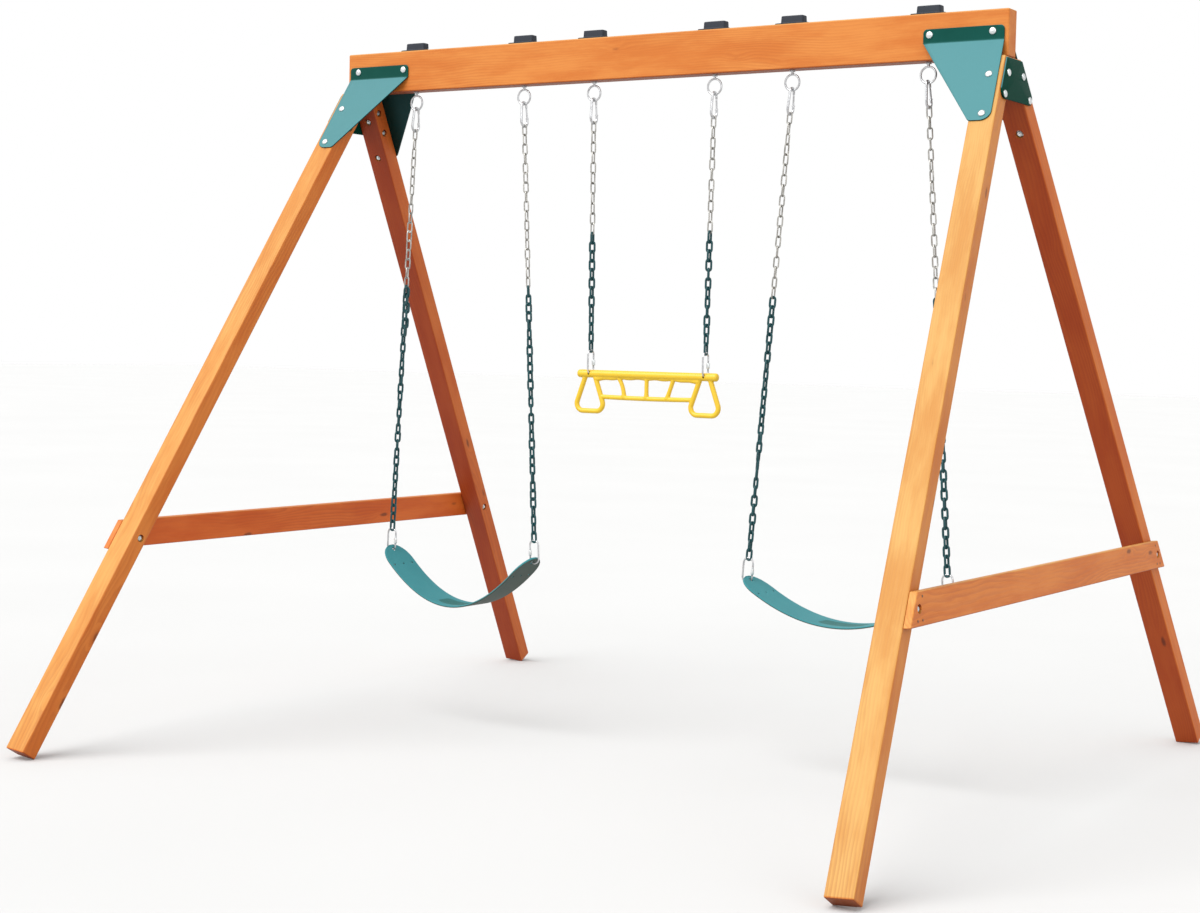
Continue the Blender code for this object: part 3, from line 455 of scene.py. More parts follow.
@dataclass(frozen=True)
class ZincSteel:
    """Plated or galvanised steel: cloudy grey, with a crystal spangle."""

    name: str
    bright: tuple[float, float, float]
    dull: tuple[float, float, float]
    rough: float
    crystal: float

    def material(self) -> bpy.types.Material:
        """The metal, from cells of slightly unlike grey under slow clouds."""
        g = Graph(self.name)
        place = g.place()
        cloud = g.noise(place, 55.0, 4.0, 0.6)
        cells = g.node("ShaderNodeTexVoronoi", None, Vector=place, Scale=self.crystal)
        shade = g.node("ShaderNodeSeparateColor", None, Color=cells.output("Color"))
        colour = g.mix(g.step(cloud * 0.85 + shade * 0.15, 0.12, 0.88), self.dull, self.bright)
        scratch = g.noise(g.stretch(place, (300.0, 300.0, 2200.0)), 1.0, 2.0)
        g.bump(scratch, 0.00012, 0.5)
        sheen = self.rough + 0.14 * cloud + 0.05 * shade
        return g.finish(Base_Color=colour, Roughness=sheen, Metallic=0.92)


@dataclass(frozen=True)
class Moulded:
    """Moulded plastic, rubber or a dipped coat: a clouded colour over a fine texture."""

    name: str
    deep: tuple[float, float, float]
    light: tuple[float, float, float]
    rough: float
    texture: float
    relief: float
    speck: tuple[float, float, float]
    speck_share: float = 0.25
    gloss: float = 0.5

    def material(self) -> bpy.types.Material:
        """The finish, from slow clouds, sparse specks and a fine relief."""
        g = Graph(self.name)
        place = g.place()
        cloud = g.noise(place, 22.0, 3.0)
        grit = g.noise(place, self.texture, 3.0, 0.65)
        specks = g.step(g.noise(place, 260.0, 3.0, 0.7), 0.62, 0.74)
        body = g.mix(cloud, self.deep, self.light)
        colour = g.mix(specks * self.speck_share, body, self.speck)
        g.bump(grit, self.relief, 0.6)
        return g.finish(Base_Color=colour, Roughness=self.rough + 0.12 * cloud + 0.08 * grit,
                        Specular_IOR_Level=self.gloss)


@dataclass(frozen=True)
class BeltRubber:
    """The belt seat's rubber: teal with a fine speckle, a darker grip patch in the middle, and
    painted shade on its underside.

    Attributes:
        name: the material's name.
        middle: the world point at the middle of the belt.
    """

    name: str
    middle: tuple[float, float, float]
    deep: tuple[float, float, float] = (0.018, 0.152, 0.172)
    light: tuple[float, float, float] = (0.032, 0.196, 0.214)
    # Painted shade: the dark grey-green of the belt's underside.
    dusty: tuple[float, float, float] = (0.040, 0.055, 0.043)

    def material(self) -> bpy.types.Material:
        """The rubber, with a diamond grip pattern inside the patch that the mesh's map marks, and
        painted shade where the map marks the underside.
        """
        g = Graph(self.name)
        place = g.place(self.middle)
        marked = g.node("ShaderNodeAttribute", {"attribute_name": "grip"}).output("Fac")
        cloud = g.noise(place, 9.0, 3.0)
        grit = g.noise(place, 620.0, 3.0, 0.7)
        specks = g.step(g.noise(place, 210.0, 3.0, 0.75), 0.60, 0.70)
        under = g.node("ShaderNodeAttribute", {"attribute_name": "underside"}).output("Fac")
        parts = g.node("ShaderNodeSeparateXYZ", None, Vector=place)
        rise = g.maths("SINE", (parts.output("X") + parts.output("Y")) * 900.0)
        fall = g.maths("SINE", (parts.output("X") - parts.output("Y")) * 900.0)
        diamonds = g.maths("MAXIMUM", rise, fall) * marked
        body = g.mix(cloud, self.deep, self.light)
        speckled = g.mix(specks * 0.35, body, (0.008, 0.060, 0.066))
        gripped = g.mix(g.step(marked, 0.3, 0.7) * 0.85, speckled, (0.002, 0.082, 0.074))
        # Painted shade: the underside is mixed towards the dark grey-green.
        colour = g.mix(under * (0.90 + 0.10 * cloud), gripped, self.dusty)
        g.bump(grit * 0.5 + diamonds * 0.5, 0.0005, 0.6)
        return g.finish(Base_Color=colour, Roughness=0.50 + 0.14 * grit, Specular_IOR_Level=0.22)


class Finishes:
    """Every finish that more than one piece shares, made once."""

    def __init__(self) -> None:
        """Makes the shared materials."""
        self.green = PowderCoat().material()
        self.flat_green = PowderCoat("green_powder_coat_matt", gloss=0.02).material()
        self.bolt = ZincSteel(
            "zinc_bolts", (0.80, 0.83, 0.83), (0.46, 0.48, 0.48), 0.22, 300.0).material()
        self.screw = ZincSteel(
            "brown_screws", (0.24, 0.15, 0.10), (0.08, 0.045, 0.03), 0.34, 300.0).material()
        self.bent = ZincSteel(
            "zinc_wire", (0.66, 0.67, 0.68), (0.34, 0.34, 0.35), 0.20, 420.0).material()
        self.chain = ZincSteel(
            "galvanised_chain", (0.52, 0.51, 0.48), (0.17, 0.165, 0.150), 0.30, 520.0).material()
        self.dip = Moulded(
            "coated_chain", (0.003, 0.032, 0.038), (0.006, 0.056, 0.062), 0.30, 420.0, 0.0003,
            (0.02, 0.10, 0.11), gloss=0.30).material()
        self.cap = Moulded(
            "black_cap", (0.007, 0.010, 0.017), (0.014, 0.019, 0.030), 0.42, 700.0, 0.0002,
            (0.04, 0.05, 0.07), gloss=0.28).material()
        self.yellow = Moulded(
            "yellow_moulding", (0.570, 0.360, 0.006), (0.630, 0.410, 0.012), 0.28, 380.0, 0.00025,
            (0.55, 0.33, 0.008), 0.15).material()


# -------------------------------------------------------------------- surfaces


@dataclass
class Shell:
    """Points and four-cornered faces of one or more surfaces, before they become a mesh."""

    points: np.ndarray
    faces: np.ndarray

    @classmethod
    def from_grid(
        cls, grid: np.ndarray, wrap_rows: bool = False, wrap_columns: bool = True
    ) -> "Shell":
        """A surface through a grid of points.

        Args:
            grid: points as (rows, columns, 3).
            wrap_rows: whether the last row meets the first.
            wrap_columns: whether the last column meets the first.

        Returns:
            The surface, with one face between each four neighbours.
        """
        rows, columns = grid.shape[:2]
        index = np.arange(rows * columns).reshape(rows, columns)
        if wrap_rows:
            index = np.vstack([index, index[:1]])
        if wrap_columns:
            index = np.hstack([index, index[:, :1]])
        corners = [index[:-1, :-1], index[:-1, 1:], index[1:, 1:], index[1:, :-1]]
        made = cls(grid.reshape(-1, 3), np.stack(corners, axis=-1).reshape(-1, 4))
        return made.outward() if wrap_columns else made

    def outward(self) -> "Shell":
        """Turns a closed surface's faces out, so that the sum of a . (b x c) is positive."""
        around = self.points - self.points.mean(axis=0)
        a, b, c, d = (around[self.faces[:, corner]] for corner in range(4))
        volume = np.sum(a * np.cross(b, c)) + np.sum(a * np.cross(c, d))
        return self if volume > 0 else Shell(self.points, self.faces[:, ::-1])

    @classmethod
    def join(cls, shells: Sequence["Shell"]) -> "Shell":
        """Several surfaces in one."""
        starts = np.cumsum([0] + [len(shell.points) for shell in shells[:-1]])
        points = np.concatenate([shell.points for shell in shells])
        faces = np.concatenate([shell.faces + start for shell, start in zip(shells, starts)])
        return cls(points, faces)

    def moved(self, matrix: Matrix) -> "Shell":
        """The surface carried by a matrix."""
        array = np.array(matrix)
        faces = self.faces[:, ::-1] if np.linalg.det(array[:3, :3]) < 0 else self.faces
        return Shell(self.points @ array[:3, :3].T + array[:3, 3], faces)

    def repeated(self, matrices: np.ndarray) -> "Shell":
        """A copy for each of (n, 4, 4) matrices: every point times every matrix, as one product."""
        turned = np.einsum("nij,pj->npi", matrices[:, :3, :3], self.points)
        points = (turned + matrices[:, None, :3, 3]).reshape(-1, 3)
        starts = np.arange(len(matrices))[:, None, None] * len(self.points)
        return Shell(points, (self.faces[None] + starts).reshape(-1, 4))


def arc(centre: Sequence[float], radius: float, start: float, end: float, count: int) -> np.ndarray:
    """Points round a circle: (x + r cos a, y + r sin a) for a from start to end in degrees."""
    turns = np.radians(np.linspace(start, end, count))
    x, y = centre[0] + radius * np.cos(turns), centre[1] + radius * np.sin(turns)
    return np.stack([x, y], axis=1)


def revolve(
    radii: np.ndarray, heights: np.ndarray, columns: int = 24, hollow: bool = False
) -> Shell:
    """A turned surface: the point at angle a of row i is (r_i cos a, r_i sin a, h_i).

    Args:
        radii: one radius a row, or one a row and column.
        heights: one height a row.
        columns: how many points go round.
        hollow: whether the last row meets the first, round a bore.

    Returns:
        The surface about Z.
    """
    angles = np.arange(columns) * (2 * math.pi / columns)
    rows = len(heights)
    reach = np.broadcast_to(np.asarray(radii, float).reshape(rows, -1), (rows, columns))
    tall = np.broadcast_to(np.asarray(heights, float)[:, None], reach.shape)
    grid = np.stack([reach * np.cos(angles), reach * np.sin(angles), tall], axis=-1)
    return Shell.from_grid(grid, wrap_rows=hollow)


def nut_profile(across_flats: float, inner: float, edge: float) -> tuple[np.ndarray, np.ndarray]:
    """A nut's rows: the lesser of a hexagon's radius and a circle that closes in at both faces.

    The hexagon's radius at angle a is f / cos(a mod 60 - 30), for half its width across flats f.

    Args:
        across_flats: the nut's width.
        inner: the radius that both faces close in to.
        edge: the share of the height that each broken edge takes.

    Returns:
        A radius for each row and column, and each row's share of the height.
    """
    angles = np.arange(NUT_COLUMNS) * (2 * math.pi / NUT_COLUMNS)
    flat = across_flats / 2
    hexagon = flat / np.cos(angles % (math.pi / 3) - math.pi / 6)
    corner = flat / math.cos(math.pi / 6)
    limits = np.array([inner, flat * 0.97, corner, corner, flat * 0.97, inner])
    return np.minimum(hexagon[None], limits[:, None]), np.array([0, 0, edge, 1 - edge, 1, 1])


def hexagonal(across_flats: float, height: float, base: float = 0.0) -> Shell:
    """A nut, closed on both faces."""
    radii, shares = nut_profile(across_flats, 0.0, 0.12)
    return revolve(radii, base + shares * height, NUT_COLUMNS)


def sleeve(across_flats: float, bore: float, height: float, base: float = 0.0) -> Shell:
    """A hexagonal sleeve with a round bore through it."""
    radii, shares = nut_profile(across_flats, bore, 0.06)
    return revolve(radii, base + shares * height, NUT_COLUMNS, hollow=True)


def disc(radius: float, height: float, base: float = 0.0, edge: float = 0.0003) -> Shell:
    """A washer or collar: a cylinder whose rims are broken by a small edge."""
    radii = np.array([0, radius - edge, radius, radius, radius - edge, 0])
    heights = base + np.array([0, 0, edge, height - edge, height, height])
    return revolve(radii, heights)


def dome(radius: float, height: float, base: float = 0.0) -> Shell:
    """A bolt's head: a quarter ellipse on a low straight rim."""
    turns = np.linspace(0, math.pi / 2, 9)
    rim = 0.0012
    radii = np.concatenate([[0, radius], radius * np.cos(turns)])
    heights = base + np.concatenate([[0, 0], rim + (height - rim) * np.sin(turns)])
    return revolve(radii, heights)


def sweep(
    path: np.ndarray, normal: np.ndarray, radius: float | np.ndarray, closed: bool = False,
    columns: int = 12,
) -> Shell:
    """A round wire on a flat path: path + r (cos a side + sin a normal), side = tangent x normal.

    Args:
        path: the centre line, as (points, 3).
        normal: the direction square to the path's plane.
        radius: the wire's radius, or one for each point.
        closed: whether the path meets its start.
        columns: how many points go round the wire.

    Returns:
        The wire, with rounded ends where it isn't closed.
    """
    reach = np.broadcast_to(np.asarray(radius, float), (len(path),))
    if closed:
        tangent = np.roll(path, -1, axis=0) - np.roll(path, 1, axis=0)
    else:
        tangent = np.gradient(path, axis=0)
    tangent = tangent / np.linalg.norm(tangent, axis=1, keepdims=True)
    if not closed:
        turns = np.linspace(math.pi / 2, 0, 4, endpoint=False)
        bulge, thin = np.sin(turns)[:, None], np.cos(turns)
        head = path[0] - tangent[0] * reach[0] * 0.6 * bulge
        tail = path[-1] + tangent[-1] * reach[-1] * 0.6 * bulge[::-1]
        path = np.concatenate([head, path, tail])
        tangent = np.concatenate([
            np.tile(tangent[0], (4, 1)), tangent, np.tile(tangent[-1], (4, 1))])
        reach = np.concatenate([reach[0] * thin, reach, reach[-1] * thin[::-1]])
    side = np.cross(tangent, normal)
    side = side / np.linalg.norm(side, axis=1, keepdims=True)
    angles = np.arange(columns) * (2 * math.pi / columns)
    ring = np.cos(angles)[None, :, None] * side[:, None] + np.sin(angles)[None, :, None] * normal
    return Shell.from_grid(path[:, None] + reach[:, None, None] * ring, wrap_rows=closed)


def upright(flat: np.ndarray, plane: Plane) -> tuple[np.ndarray, np.ndarray]:
    """A flat path of (across, up) stood in a plane, with the plane's normal."""
    zero = np.zeros(len(flat))
    if plane is Plane.ALONG_BEAM:
        return np.stack([flat[:, 0], zero, flat[:, 1]], axis=1), Y_AXIS
    return np.stack([zero, flat[:, 0], flat[:, 1]], axis=1), X_AXIS


def oval(length: float, width: float, wire: float, count: int) -> np.ndarray:
    """A link's centre line: two half circles and the straights between, its top at height zero."""
    radius = width / 2 - wire
    low = radius - (length - 2 * wire)
    return np.concatenate([arc((0, -radius), radius, 0, 180, count),
                           arc((0, low), radius, 180, 360, count)])


def rounded(corners: Sequence[tuple[float, float, float]], count: int = 7) -> np.ndarray:
    """A polygon's outline, each corner (x, y, radius) drawn as an arc of count points.

    Args:
        corners: the corners in order.
        count: how many points an arc has.

    Returns:
        The outline, as (points, 2).
    """
    runs = []
    for index, (x, y, radius) in enumerate(corners):
        corner = Vector((x, y))
        before = (Vector(corners[index - 1][:2]) - corner).normalized()
        after = (Vector(corners[(index + 1) % len(corners)][:2]) - corner).normalized()
        half = before.angle(after) / 2
        centre = corner + (before + after).normalized() * (radius / math.sin(half))
        start = corner + before * (radius / math.tan(half)) - centre
        end = corner + after * (radius / math.tan(half)) - centre
        arms = [start.lerp(end, share).normalized() * radius for share in np.linspace(0, 1, count)]
        runs += [tuple(centre + arm) for arm in arms]
    return np.array(runs)


def plate(outline: np.ndarray, thickness: float, edge: float = 0.0007) -> Shell:
    """A flat plate: its outline carried up with rounded edges, closed to its middle on both faces.

    Args:
        outline: the outline, as (points, 2).
        thickness: the plate's thickness.
        edge: the radius of its edges.

    Returns:
        The plate, from height 0 up.
    """
    middle = outline.mean(axis=0)
    ahead = np.roll(outline, -1, axis=0) - np.roll(outline, 1, axis=0)
    inward = np.stack([-ahead[:, 1], ahead[:, 0]], axis=1)
    inward /= np.linalg.norm(inward, axis=1, keepdims=True)
    inward *= np.sign(np.sum(inward * (middle - outline)))
    turns = np.linspace(0, math.pi / 2, 4)
    pull = np.concatenate([edge * (1 - np.sin(turns)), edge * (1 - np.cos(turns))])
    lift = np.concatenate([edge * (1 - np.cos(turns)), thickness - edge * (1 - np.sin(turns))])
    rows = outline[None] + pull[:, None, None] * inward[None]
    hub = np.broadcast_to(middle, outline.shape)[None]
    flat = np.concatenate([hub, rows, hub])
    height = np.concatenate([[0], lift, [thickness]])
    tall = np.broadcast_to(height[:, None, None], (*flat.shape[:2], 1))
    return Shell.from_grid(np.concatenate([flat, tall], axis=2))


def stand(place: Sequence[float], direction: Sequence[float]) -> Matrix:
    """A matrix that takes a shape on Z to a place, its Z along a direction."""
    turn = Vector(direction).to_track_quat("Z", "Y").to_matrix().to_4x4()
    return Matrix.Translation(Vector(place)) @ turn


def mirror(side: int, face: int = 1) -> Matrix:
    """Mirrors a front right shape to another corner."""
    return Matrix.Diagonal((side, face, 1, 1))


def to_mesh(name: str, shell: Shell) -> bpy.types.Mesh:
    """A mesh of a surface, its seams and poles welded.

    Args:
        name: the mesh's name.
        shell: the surface.

    Returns:
        The mesh.
    """
    mesh = bpy.data.meshes.new(name)
    mesh.from_pydata(shell.points.tolist(), [], shell.faces.tolist())
    work = bmesh.new()
    work.from_mesh(mesh)
    bmesh.ops.remove_doubles(work, verts=work.verts, dist=WELD)
    work.to_mesh(mesh)
    work.free()
    return mesh


def dress(obj: bpy.types.Object, material: bpy.types.Material, angle: float = SMOOTH_ANGLE) -> None:
    """Shades a piece smooth up to an angle and gives it its finish."""
    obj.data.shade_smooth()
    obj.data.set_sharp_from_angle(angle=angle)
    obj.data.materials.clear()
    obj.data.materials.append(material)


def make_piece(
    name: str, shell: Shell, material: bpy.types.Material, body: str,
    node: str | None = None,
) -> bpy.types.Object:
    """Makes a finished piece.

    Args:
        name: the piece's name.
        shell: its surface, in the set's frame.
        material: its finish.
        body: the moving body that it rides on.
        node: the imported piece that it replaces, if it does.

    Returns:
        The piece.
    """
    obj = link_piece(name, to_mesh(name, shell))
    dress(obj, material)
    return settle(obj, body, node)


def settle(obj: bpy.types.Object, body: str, node: str | None) -> bpy.types.Object:
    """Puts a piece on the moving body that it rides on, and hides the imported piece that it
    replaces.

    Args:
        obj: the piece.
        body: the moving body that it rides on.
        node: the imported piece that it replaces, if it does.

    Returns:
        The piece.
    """
    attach(obj, body)
    if node is not None:
        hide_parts(node)
    LOG.info("%s: %d faces on %s", obj.name, len(obj.data.polygons), body)
    return obj


def face_outward(mesh: bpy.types.Mesh) -> None:
    """Points a closed mesh's faces outwards, so that its volume is positive.

    Args:
        mesh: the mesh, which is changed.
    """
    work = bmesh.new()
    work.from_mesh(mesh)
    bmesh.ops.recalc_face_normals(work, faces=work.faces)
    if work.calc_volume(signed=True) < 0:
        bmesh.ops.reverse_faces(work, faces=work.faces)
    work.to_mesh(mesh)
    work.free()


def link_piece(name: str, mesh: bpy.types.Mesh) -> bpy.types.Object:
    """A new object of a mesh, in the scene, at the origin."""
    obj = bpy.data.objects.new(name, mesh)
    bpy.context.scene.collection.objects.link(obj)
    return obj


def apply_modifiers(obj: bpy.types.Object) -> None:
    """Makes a piece's modified shape its mesh."""
    graph = bpy.context.evaluated_depsgraph_get()
    mesh = bpy.data.meshes.new_from_object(obj.evaluated_get(graph))
    obj.modifiers.clear()
    obj.data = mesh


# ------------------------------------------------------------------- the frame


@dataclass
class TimberFrame:
    """The beam, four legs and two braces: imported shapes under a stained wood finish.

    Attributes:
        tilt: how far a leg leans to the front or the back.
        splay: how far a leg leans outwards.
        beam_pith: where the pith lay in the beam, across and through it.
        leg_piths: the same in the legs: front left, front right, back left, back right.
        leg_tones: each leg's own tone, in the same order.
        brace_pith: where the pith lay in both braces.
        brace_tones: the left and the right brace's own tone.
    """

    tilt: float = LEG_TILT
    splay: float = LEG_SPLAY
    beam_pith: tuple[float, float] = (-0.11, 0.055)
    leg_piths: tuple[tuple[float, float], ...] = (
        (0.06, 0.045), (-0.075, 0.05), (0.05, -0.06), (-0.055, 0.07),
    )
    leg_tones: tuple[tuple[float, float, float], ...] = (
        (1.00, 0.90, 0.78), (0.95, 0.98, 0.98), (0.88, 0.62, 0.50), (0.98, 0.76, 0.50),
    )
    brace_pith: tuple[float, float] = (0.09, 0.10)
    brace_tones: tuple[tuple[float, float, float], ...] = ((1.00, 0.62, 0.46), (1.06, 0.94, 0.84))

    def build(self) -> None:
        """Dresses each timber with its own board, along its own grain."""
        self._board("beam", Vector((1, 0, 0)), Vector((0, 0, 1)), self.beam_pith, 1.0,
                    (1.0, 1.0, 1.0))
        for index, (side, face) in enumerate(((-1, 1), (1, 1), (-1, -1), (1, -1))):
            word = corner_word(side, face)
            down, across = self._leg_axes(side, face)
            self._board("leg_" + word, down, across, self.leg_piths[index], 2.3 + 1.7 * index,
                        self.leg_tones[index])
        for index, side in enumerate((-1, 1)):
            slope = Vector((-side * math.tan(self.splay) / math.cos(self.tilt), 0, 1)).normalized()
            self._board("brace_" + side_word(side), Vector((0, 1, 0)), slope, self.brace_pith,
                        11.1 + 2.9 * index, self.brace_tones[index])

    def _leg_axes(self, side: int, face: int) -> tuple[Vector, Vector]:
        """The directions down a leg and across its face."""
        slope = Vector((0, -face * math.sin(self.tilt), -math.cos(self.tilt)))
        out = Vector((side, 0, 0))
        down = out * math.sin(self.splay) + slope * math.cos(self.splay)
        across = out * math.cos(self.splay) - slope * math.sin(self.splay)
        return down, across

    @staticmethod
    def _board(
        node: str, along: Vector, across: Vector, pith: tuple[float, float], seed: float,
        tone: tuple[float, float, float],
    ) -> None:
        """Gives a packed timber its wood, along and across the directions given.

        Args:
            node: the timber's name.
            along: the direction of its grain.
            across: the direction across its face.
            pith: where the pith lay, across and through it.
            seed: moves the pattern.
            tone: the board's own tone.
        """
        low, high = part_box(node)
        through = along.cross(across)
        turn = Matrix((along, across, through)).transposed().to_euler()
        wood = StainedTimber(node + "_wood", tuple((low + high) / 2), tuple(turn), pith, seed, tone)
        timber = bpy.data.objects[node]
        dress(timber, wood.material(), math.radians(30))


@dataclass
class CornerSteel:
    """The bent corner brackets, the end plates, and all the bolts, nuts and screws of the frame."""

    finishes: Finishes
    bend_level: float
    side_x: float
    beam_half: float = 0.030
    tilt: float = LEG_TILT
    splay: float = LEG_SPLAY
    leg_width: float = 0.080
    leg_depth: float = 0.060
    plate: float = 0.004
    inset: float = 0.012
    flange_length: float = 0.256
    flange_height: float = 0.043
    flange_corner: float = 0.012
    slope_length: float = 0.293
    slope_corner: float = 0.033
    bend_half: float = 0.005
    flange_bolt_rise: float = 0.026
    flange_bolt_insets: tuple[float, float] = (0.036, 0.236)
    leg_bolts: tuple[float, float] = (0.125, 0.267)
    end_bolts: tuple[float, float] = (0.100, 0.177)
    end_drop: float = 0.006
    end_height: float = 0.126
    end_inset: float = 0.005
    end_corner: float = 0.022
    recess: float = 0.012
    head_radius: float = 0.0110
    head_height: float = 0.0058
    brace_level: float = 0.682
    brace_thickness: float = 0.022
    heel_corner: float = 0.006
    washer_radius: float = 0.0122
    washer_height: float = 0.0018
    nut_flats: float = 0.0150
    nut_height: float = 0.0070
    thread_radius: float = 0.0043
    thread_rise: float = 0.0135
    brace_head_radius: float = 0.0102
    brace_head_height: float = 0.0080
    screw_radius: float = 0.0034
    screw_height: float = 0.0016
    screw_places: tuple[tuple[float, float], ...] = (
        (0.021, 0.031), (0.015, -0.030), (-0.015, -0.030),
    )
    beam_bottom: float = field(init=False)

    def __post_init__(self) -> None:
        """Works out the frames of a leg's face and of the set's side."""
        self.beam_bottom = float(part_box("beam")[0].z)
        slope = Vector((0, -math.sin(self.tilt), -math.cos(self.tilt)))
        self.out = Vector((0, -math.cos(self.tilt), math.sin(self.tilt)))
        self.down = Vector((math.sin(self.splay), 0, 0)) + slope * math.cos(self.splay)
        self.across = Vector((math.cos(self.splay), 0, 0)) - slope * math.sin(self.splay)
        origin = Vector((self.side_x, -self.beam_half - TOUCH, self.bend_level)) - self.out * TOUCH
        self.leg = Matrix.Translation(origin) @ self._frame(self.across, self.out, self.down)
        self.side_slope = math.tan(self.splay) / math.cos(self.tilt)
        up = Vector((-self.side_slope, 0, 1)).normalized()
        back = Vector((0, 1, 0))
        self.side_out = back.cross(up)
        corner = Vector((self.side_x, 0, self.bend_level)) + self.side_out * TOUCH
        self.side = Matrix.Translation(corner) @ self._frame(back, up, self.side_out)
        self.side_stretch = math.hypot(1, self.side_slope)

    @staticmethod
    def _frame(first: Vector, second: Vector, third: Vector) -> Matrix:
        """A turn whose columns are three directions."""
        return Matrix((first, second, third)).transposed().to_4x4()

    def build(self) -> None:
        """Makes the steel of all four corners and both sides."""
        for side in (-1, 1):
            for face in (-1, 1):
                self._bracket(side, face)
            self._end_plate(side)
            self._brace_fasteners(side)

    def _edge(self, v: np.ndarray) -> tuple[np.ndarray, np.ndarray]:
        """The bracket's inner and outer edge at a developed height v, its corners rounded.

        Args:
            v: heights along the unfolded plate, 0 at the bend.

        Returns:
            The x of the inner and of the outer edge.
        """
        outer = self.side_x - self.inset
        inner = outer - self.flange_length
        splay = math.tan(self.splay)
        foot_inner = self.side_x - self.leg_width / math.cos(self.splay) + self.slope_length * splay
        below = np.clip(-v, 0, None)
        low = inner + (foot_inner - inner) * below / self.slope_length
        high = outer + splay * below
        top = np.clip(v - (self.flange_height - self.flange_corner), 0, self.flange_corner)
        high = high - self._round(top, self.flange_corner)
        low = low + self._round(top, self.flange_corner)
        foot = np.clip(below - (self.slope_length - self.slope_corner), 0, self.slope_corner)
        high = high - self._round(foot, self.slope_corner)
        heel = np.clip(below - (self.slope_length - self.heel_corner), 0, self.heel_corner)
        return low + self._round(heel, self.heel_corner), high

    @staticmethod
    def _round(past: np.ndarray, radius: float) -> np.ndarray:
        """How far a circle falls away after a distance past its start."""
        return radius - np.sqrt(np.clip(radius**2 - past**2, 0, None))

    def _bracket_shell(self) -> Shell:
        """The bracket's inner face, edge to edge, folded through an even bend at its middle."""
        ease = 1 - np.cos(np.linspace(0, math.pi / 2, 9))
        foot = -self.slope_length + self.slope_corner * ease
        head = self.flange_height - self.flange_corner * ease[::-1]
        bend = np.linspace(-self.bend_half, self.bend_half, 7)
        slope = np.linspace(foot[-1], bend[0], 14)[1:-1]
        v = np.concatenate([foot, slope, bend, head])
        low, high = self._edge(v)
        s = np.linspace(0, 1, 15)
        x = low[:, None] + (high - low)[:, None] * s[None]
        fine = np.linspace(-self.slope_length, self.flange_height, 4001)
        lean = self.tilt * np.clip((self.bend_half - fine) / (2 * self.bend_half), 0, 1)
        step = fine[1] - fine[0]
        depth = np.concatenate([[0], np.cumsum(np.sin((lean[1:] + lean[:-1]) / 2)) * step])
        rise = np.concatenate([[0], np.cumsum(np.cos((lean[1:] + lean[:-1]) / 2)) * step])
        depth, rise = depth - depth[-1], rise - np.interp(self.flange_height, fine, rise)
        y = -self.beam_half - TOUCH + np.interp(v, fine, depth)
        z = self.bend_level + self.flange_height + np.interp(v, fine, rise)
        across = [x, *(np.broadcast_to(rows[:, None], x.shape) for rows in (y, z))]
        return Shell.from_grid(np.stack(across, axis=-1), wrap_columns=False)

    def _bracket(self, side: int, face: int) -> None:
        """One bracket, thickened outwards and its edges eased, with its bolts and nuts.

        Args:
            side: -1 on the left, 1 on the right.
            face: 1 at the front, -1 at the back.
        """
        word = corner_word(side, face)
        mesh = to_mesh("corner_bracket_plate_" + word, self._bracket_shell())
        flip = bmesh.new()
        flip.from_mesh(mesh)
        flip.faces.ensure_lookup_table()
        if flip.faces[0].normal.y > 0:
            bmesh.ops.reverse_faces(flip, faces=flip.faces)
        flip.to_mesh(mesh)
        flip.free()
        obj = link_piece("corner_bracket_plate_" + word, mesh)
        wall = obj.modifiers.new("wall", "SOLIDIFY")
        wall.thickness = self.plate
        wall.offset = 1.0
        ease = obj.modifiers.new("ease", "BEVEL")
        ease.width = 0.0008
        ease.segments = 2
        ease.limit_method = "ANGLE"
        ease.angle_limit = math.radians(60)
        bpy.context.view_layer.update()
        apply_modifiers(obj)
        obj.data.transform(mirror(side, face))
        face_outward(obj.data)
        dress(obj, self.finishes.green)
        settle(obj, "frame", "corner_bracket_" + word)
        bolts = self._bracket_bolts(face).moved(mirror(side, face))
        make_piece("corner_bolts_" + word, bolts, self.finishes.bolt, "frame")

    def _nut_stack(self) -> Shell:
        """A washer, a nut on it, and the bolt's end standing out of the nut, on Z."""
        thread, rise = self.thread_radius, self.thread_rise
        radii = np.array([0, thread, thread, thread - 0.0008, 0])
        end = revolve(radii, np.array([0, 0, rise - 0.001, rise, rise]), 16)
        washer = disc(self.washer_radius, self.washer_height)
        nut = hexagonal(self.nut_flats, self.nut_height, self.washer_height)
        return Shell.join([washer, nut, end])

    def _bracket_bolts(self, face: int) -> Shell:
        """The heads on a bracket's plate and the nuts behind the leg and, at the back, the beam.

        Args:
            face: 1 at the front, -1 at the back.

        Returns:
            The bolts, at the front right corner.
        """
        shells = []
        head = dome(self.head_radius, self.head_height)
        for down in self.leg_bolts:
            front = self.leg @ Vector((-self.leg_width / 2, TOUCH + self.plate, down))
            back = self.leg @ Vector((-self.leg_width / 2, -self.leg_depth + self.recess, down))
            shells.append(head.moved(stand(front, self.out)))
            shells.append(self._nut_stack().moved(stand(back, -self.out)))
        outer = self.side_x - self.inset
        level = self.bend_level + self.flange_bolt_rise
        for inset in self.flange_bolt_insets:
            place = (outer - inset, -self.beam_half - TOUCH - self.plate, level)
            shape = head if face > 0 else self._nut_stack()
            shells.append(shape.moved(stand(place, (0, -1, 0))))
        return Shell.join(shells)

    def _on_side(self, back: float, level: float, out: float) -> Vector:
        """A point on the set's right side, at a world height."""
        return self.side @ Vector((back, (level - self.bend_level) * self.side_stretch, out))

    def _side_bolt(self, down: float) -> Vector:
        """Where a bolt through the side crosses it, over the middle of the leg's depth."""
        middle = self.leg @ Vector((0, -self.leg_depth / 2, down))
        return self._on_side(middle.y, middle.z, 0)

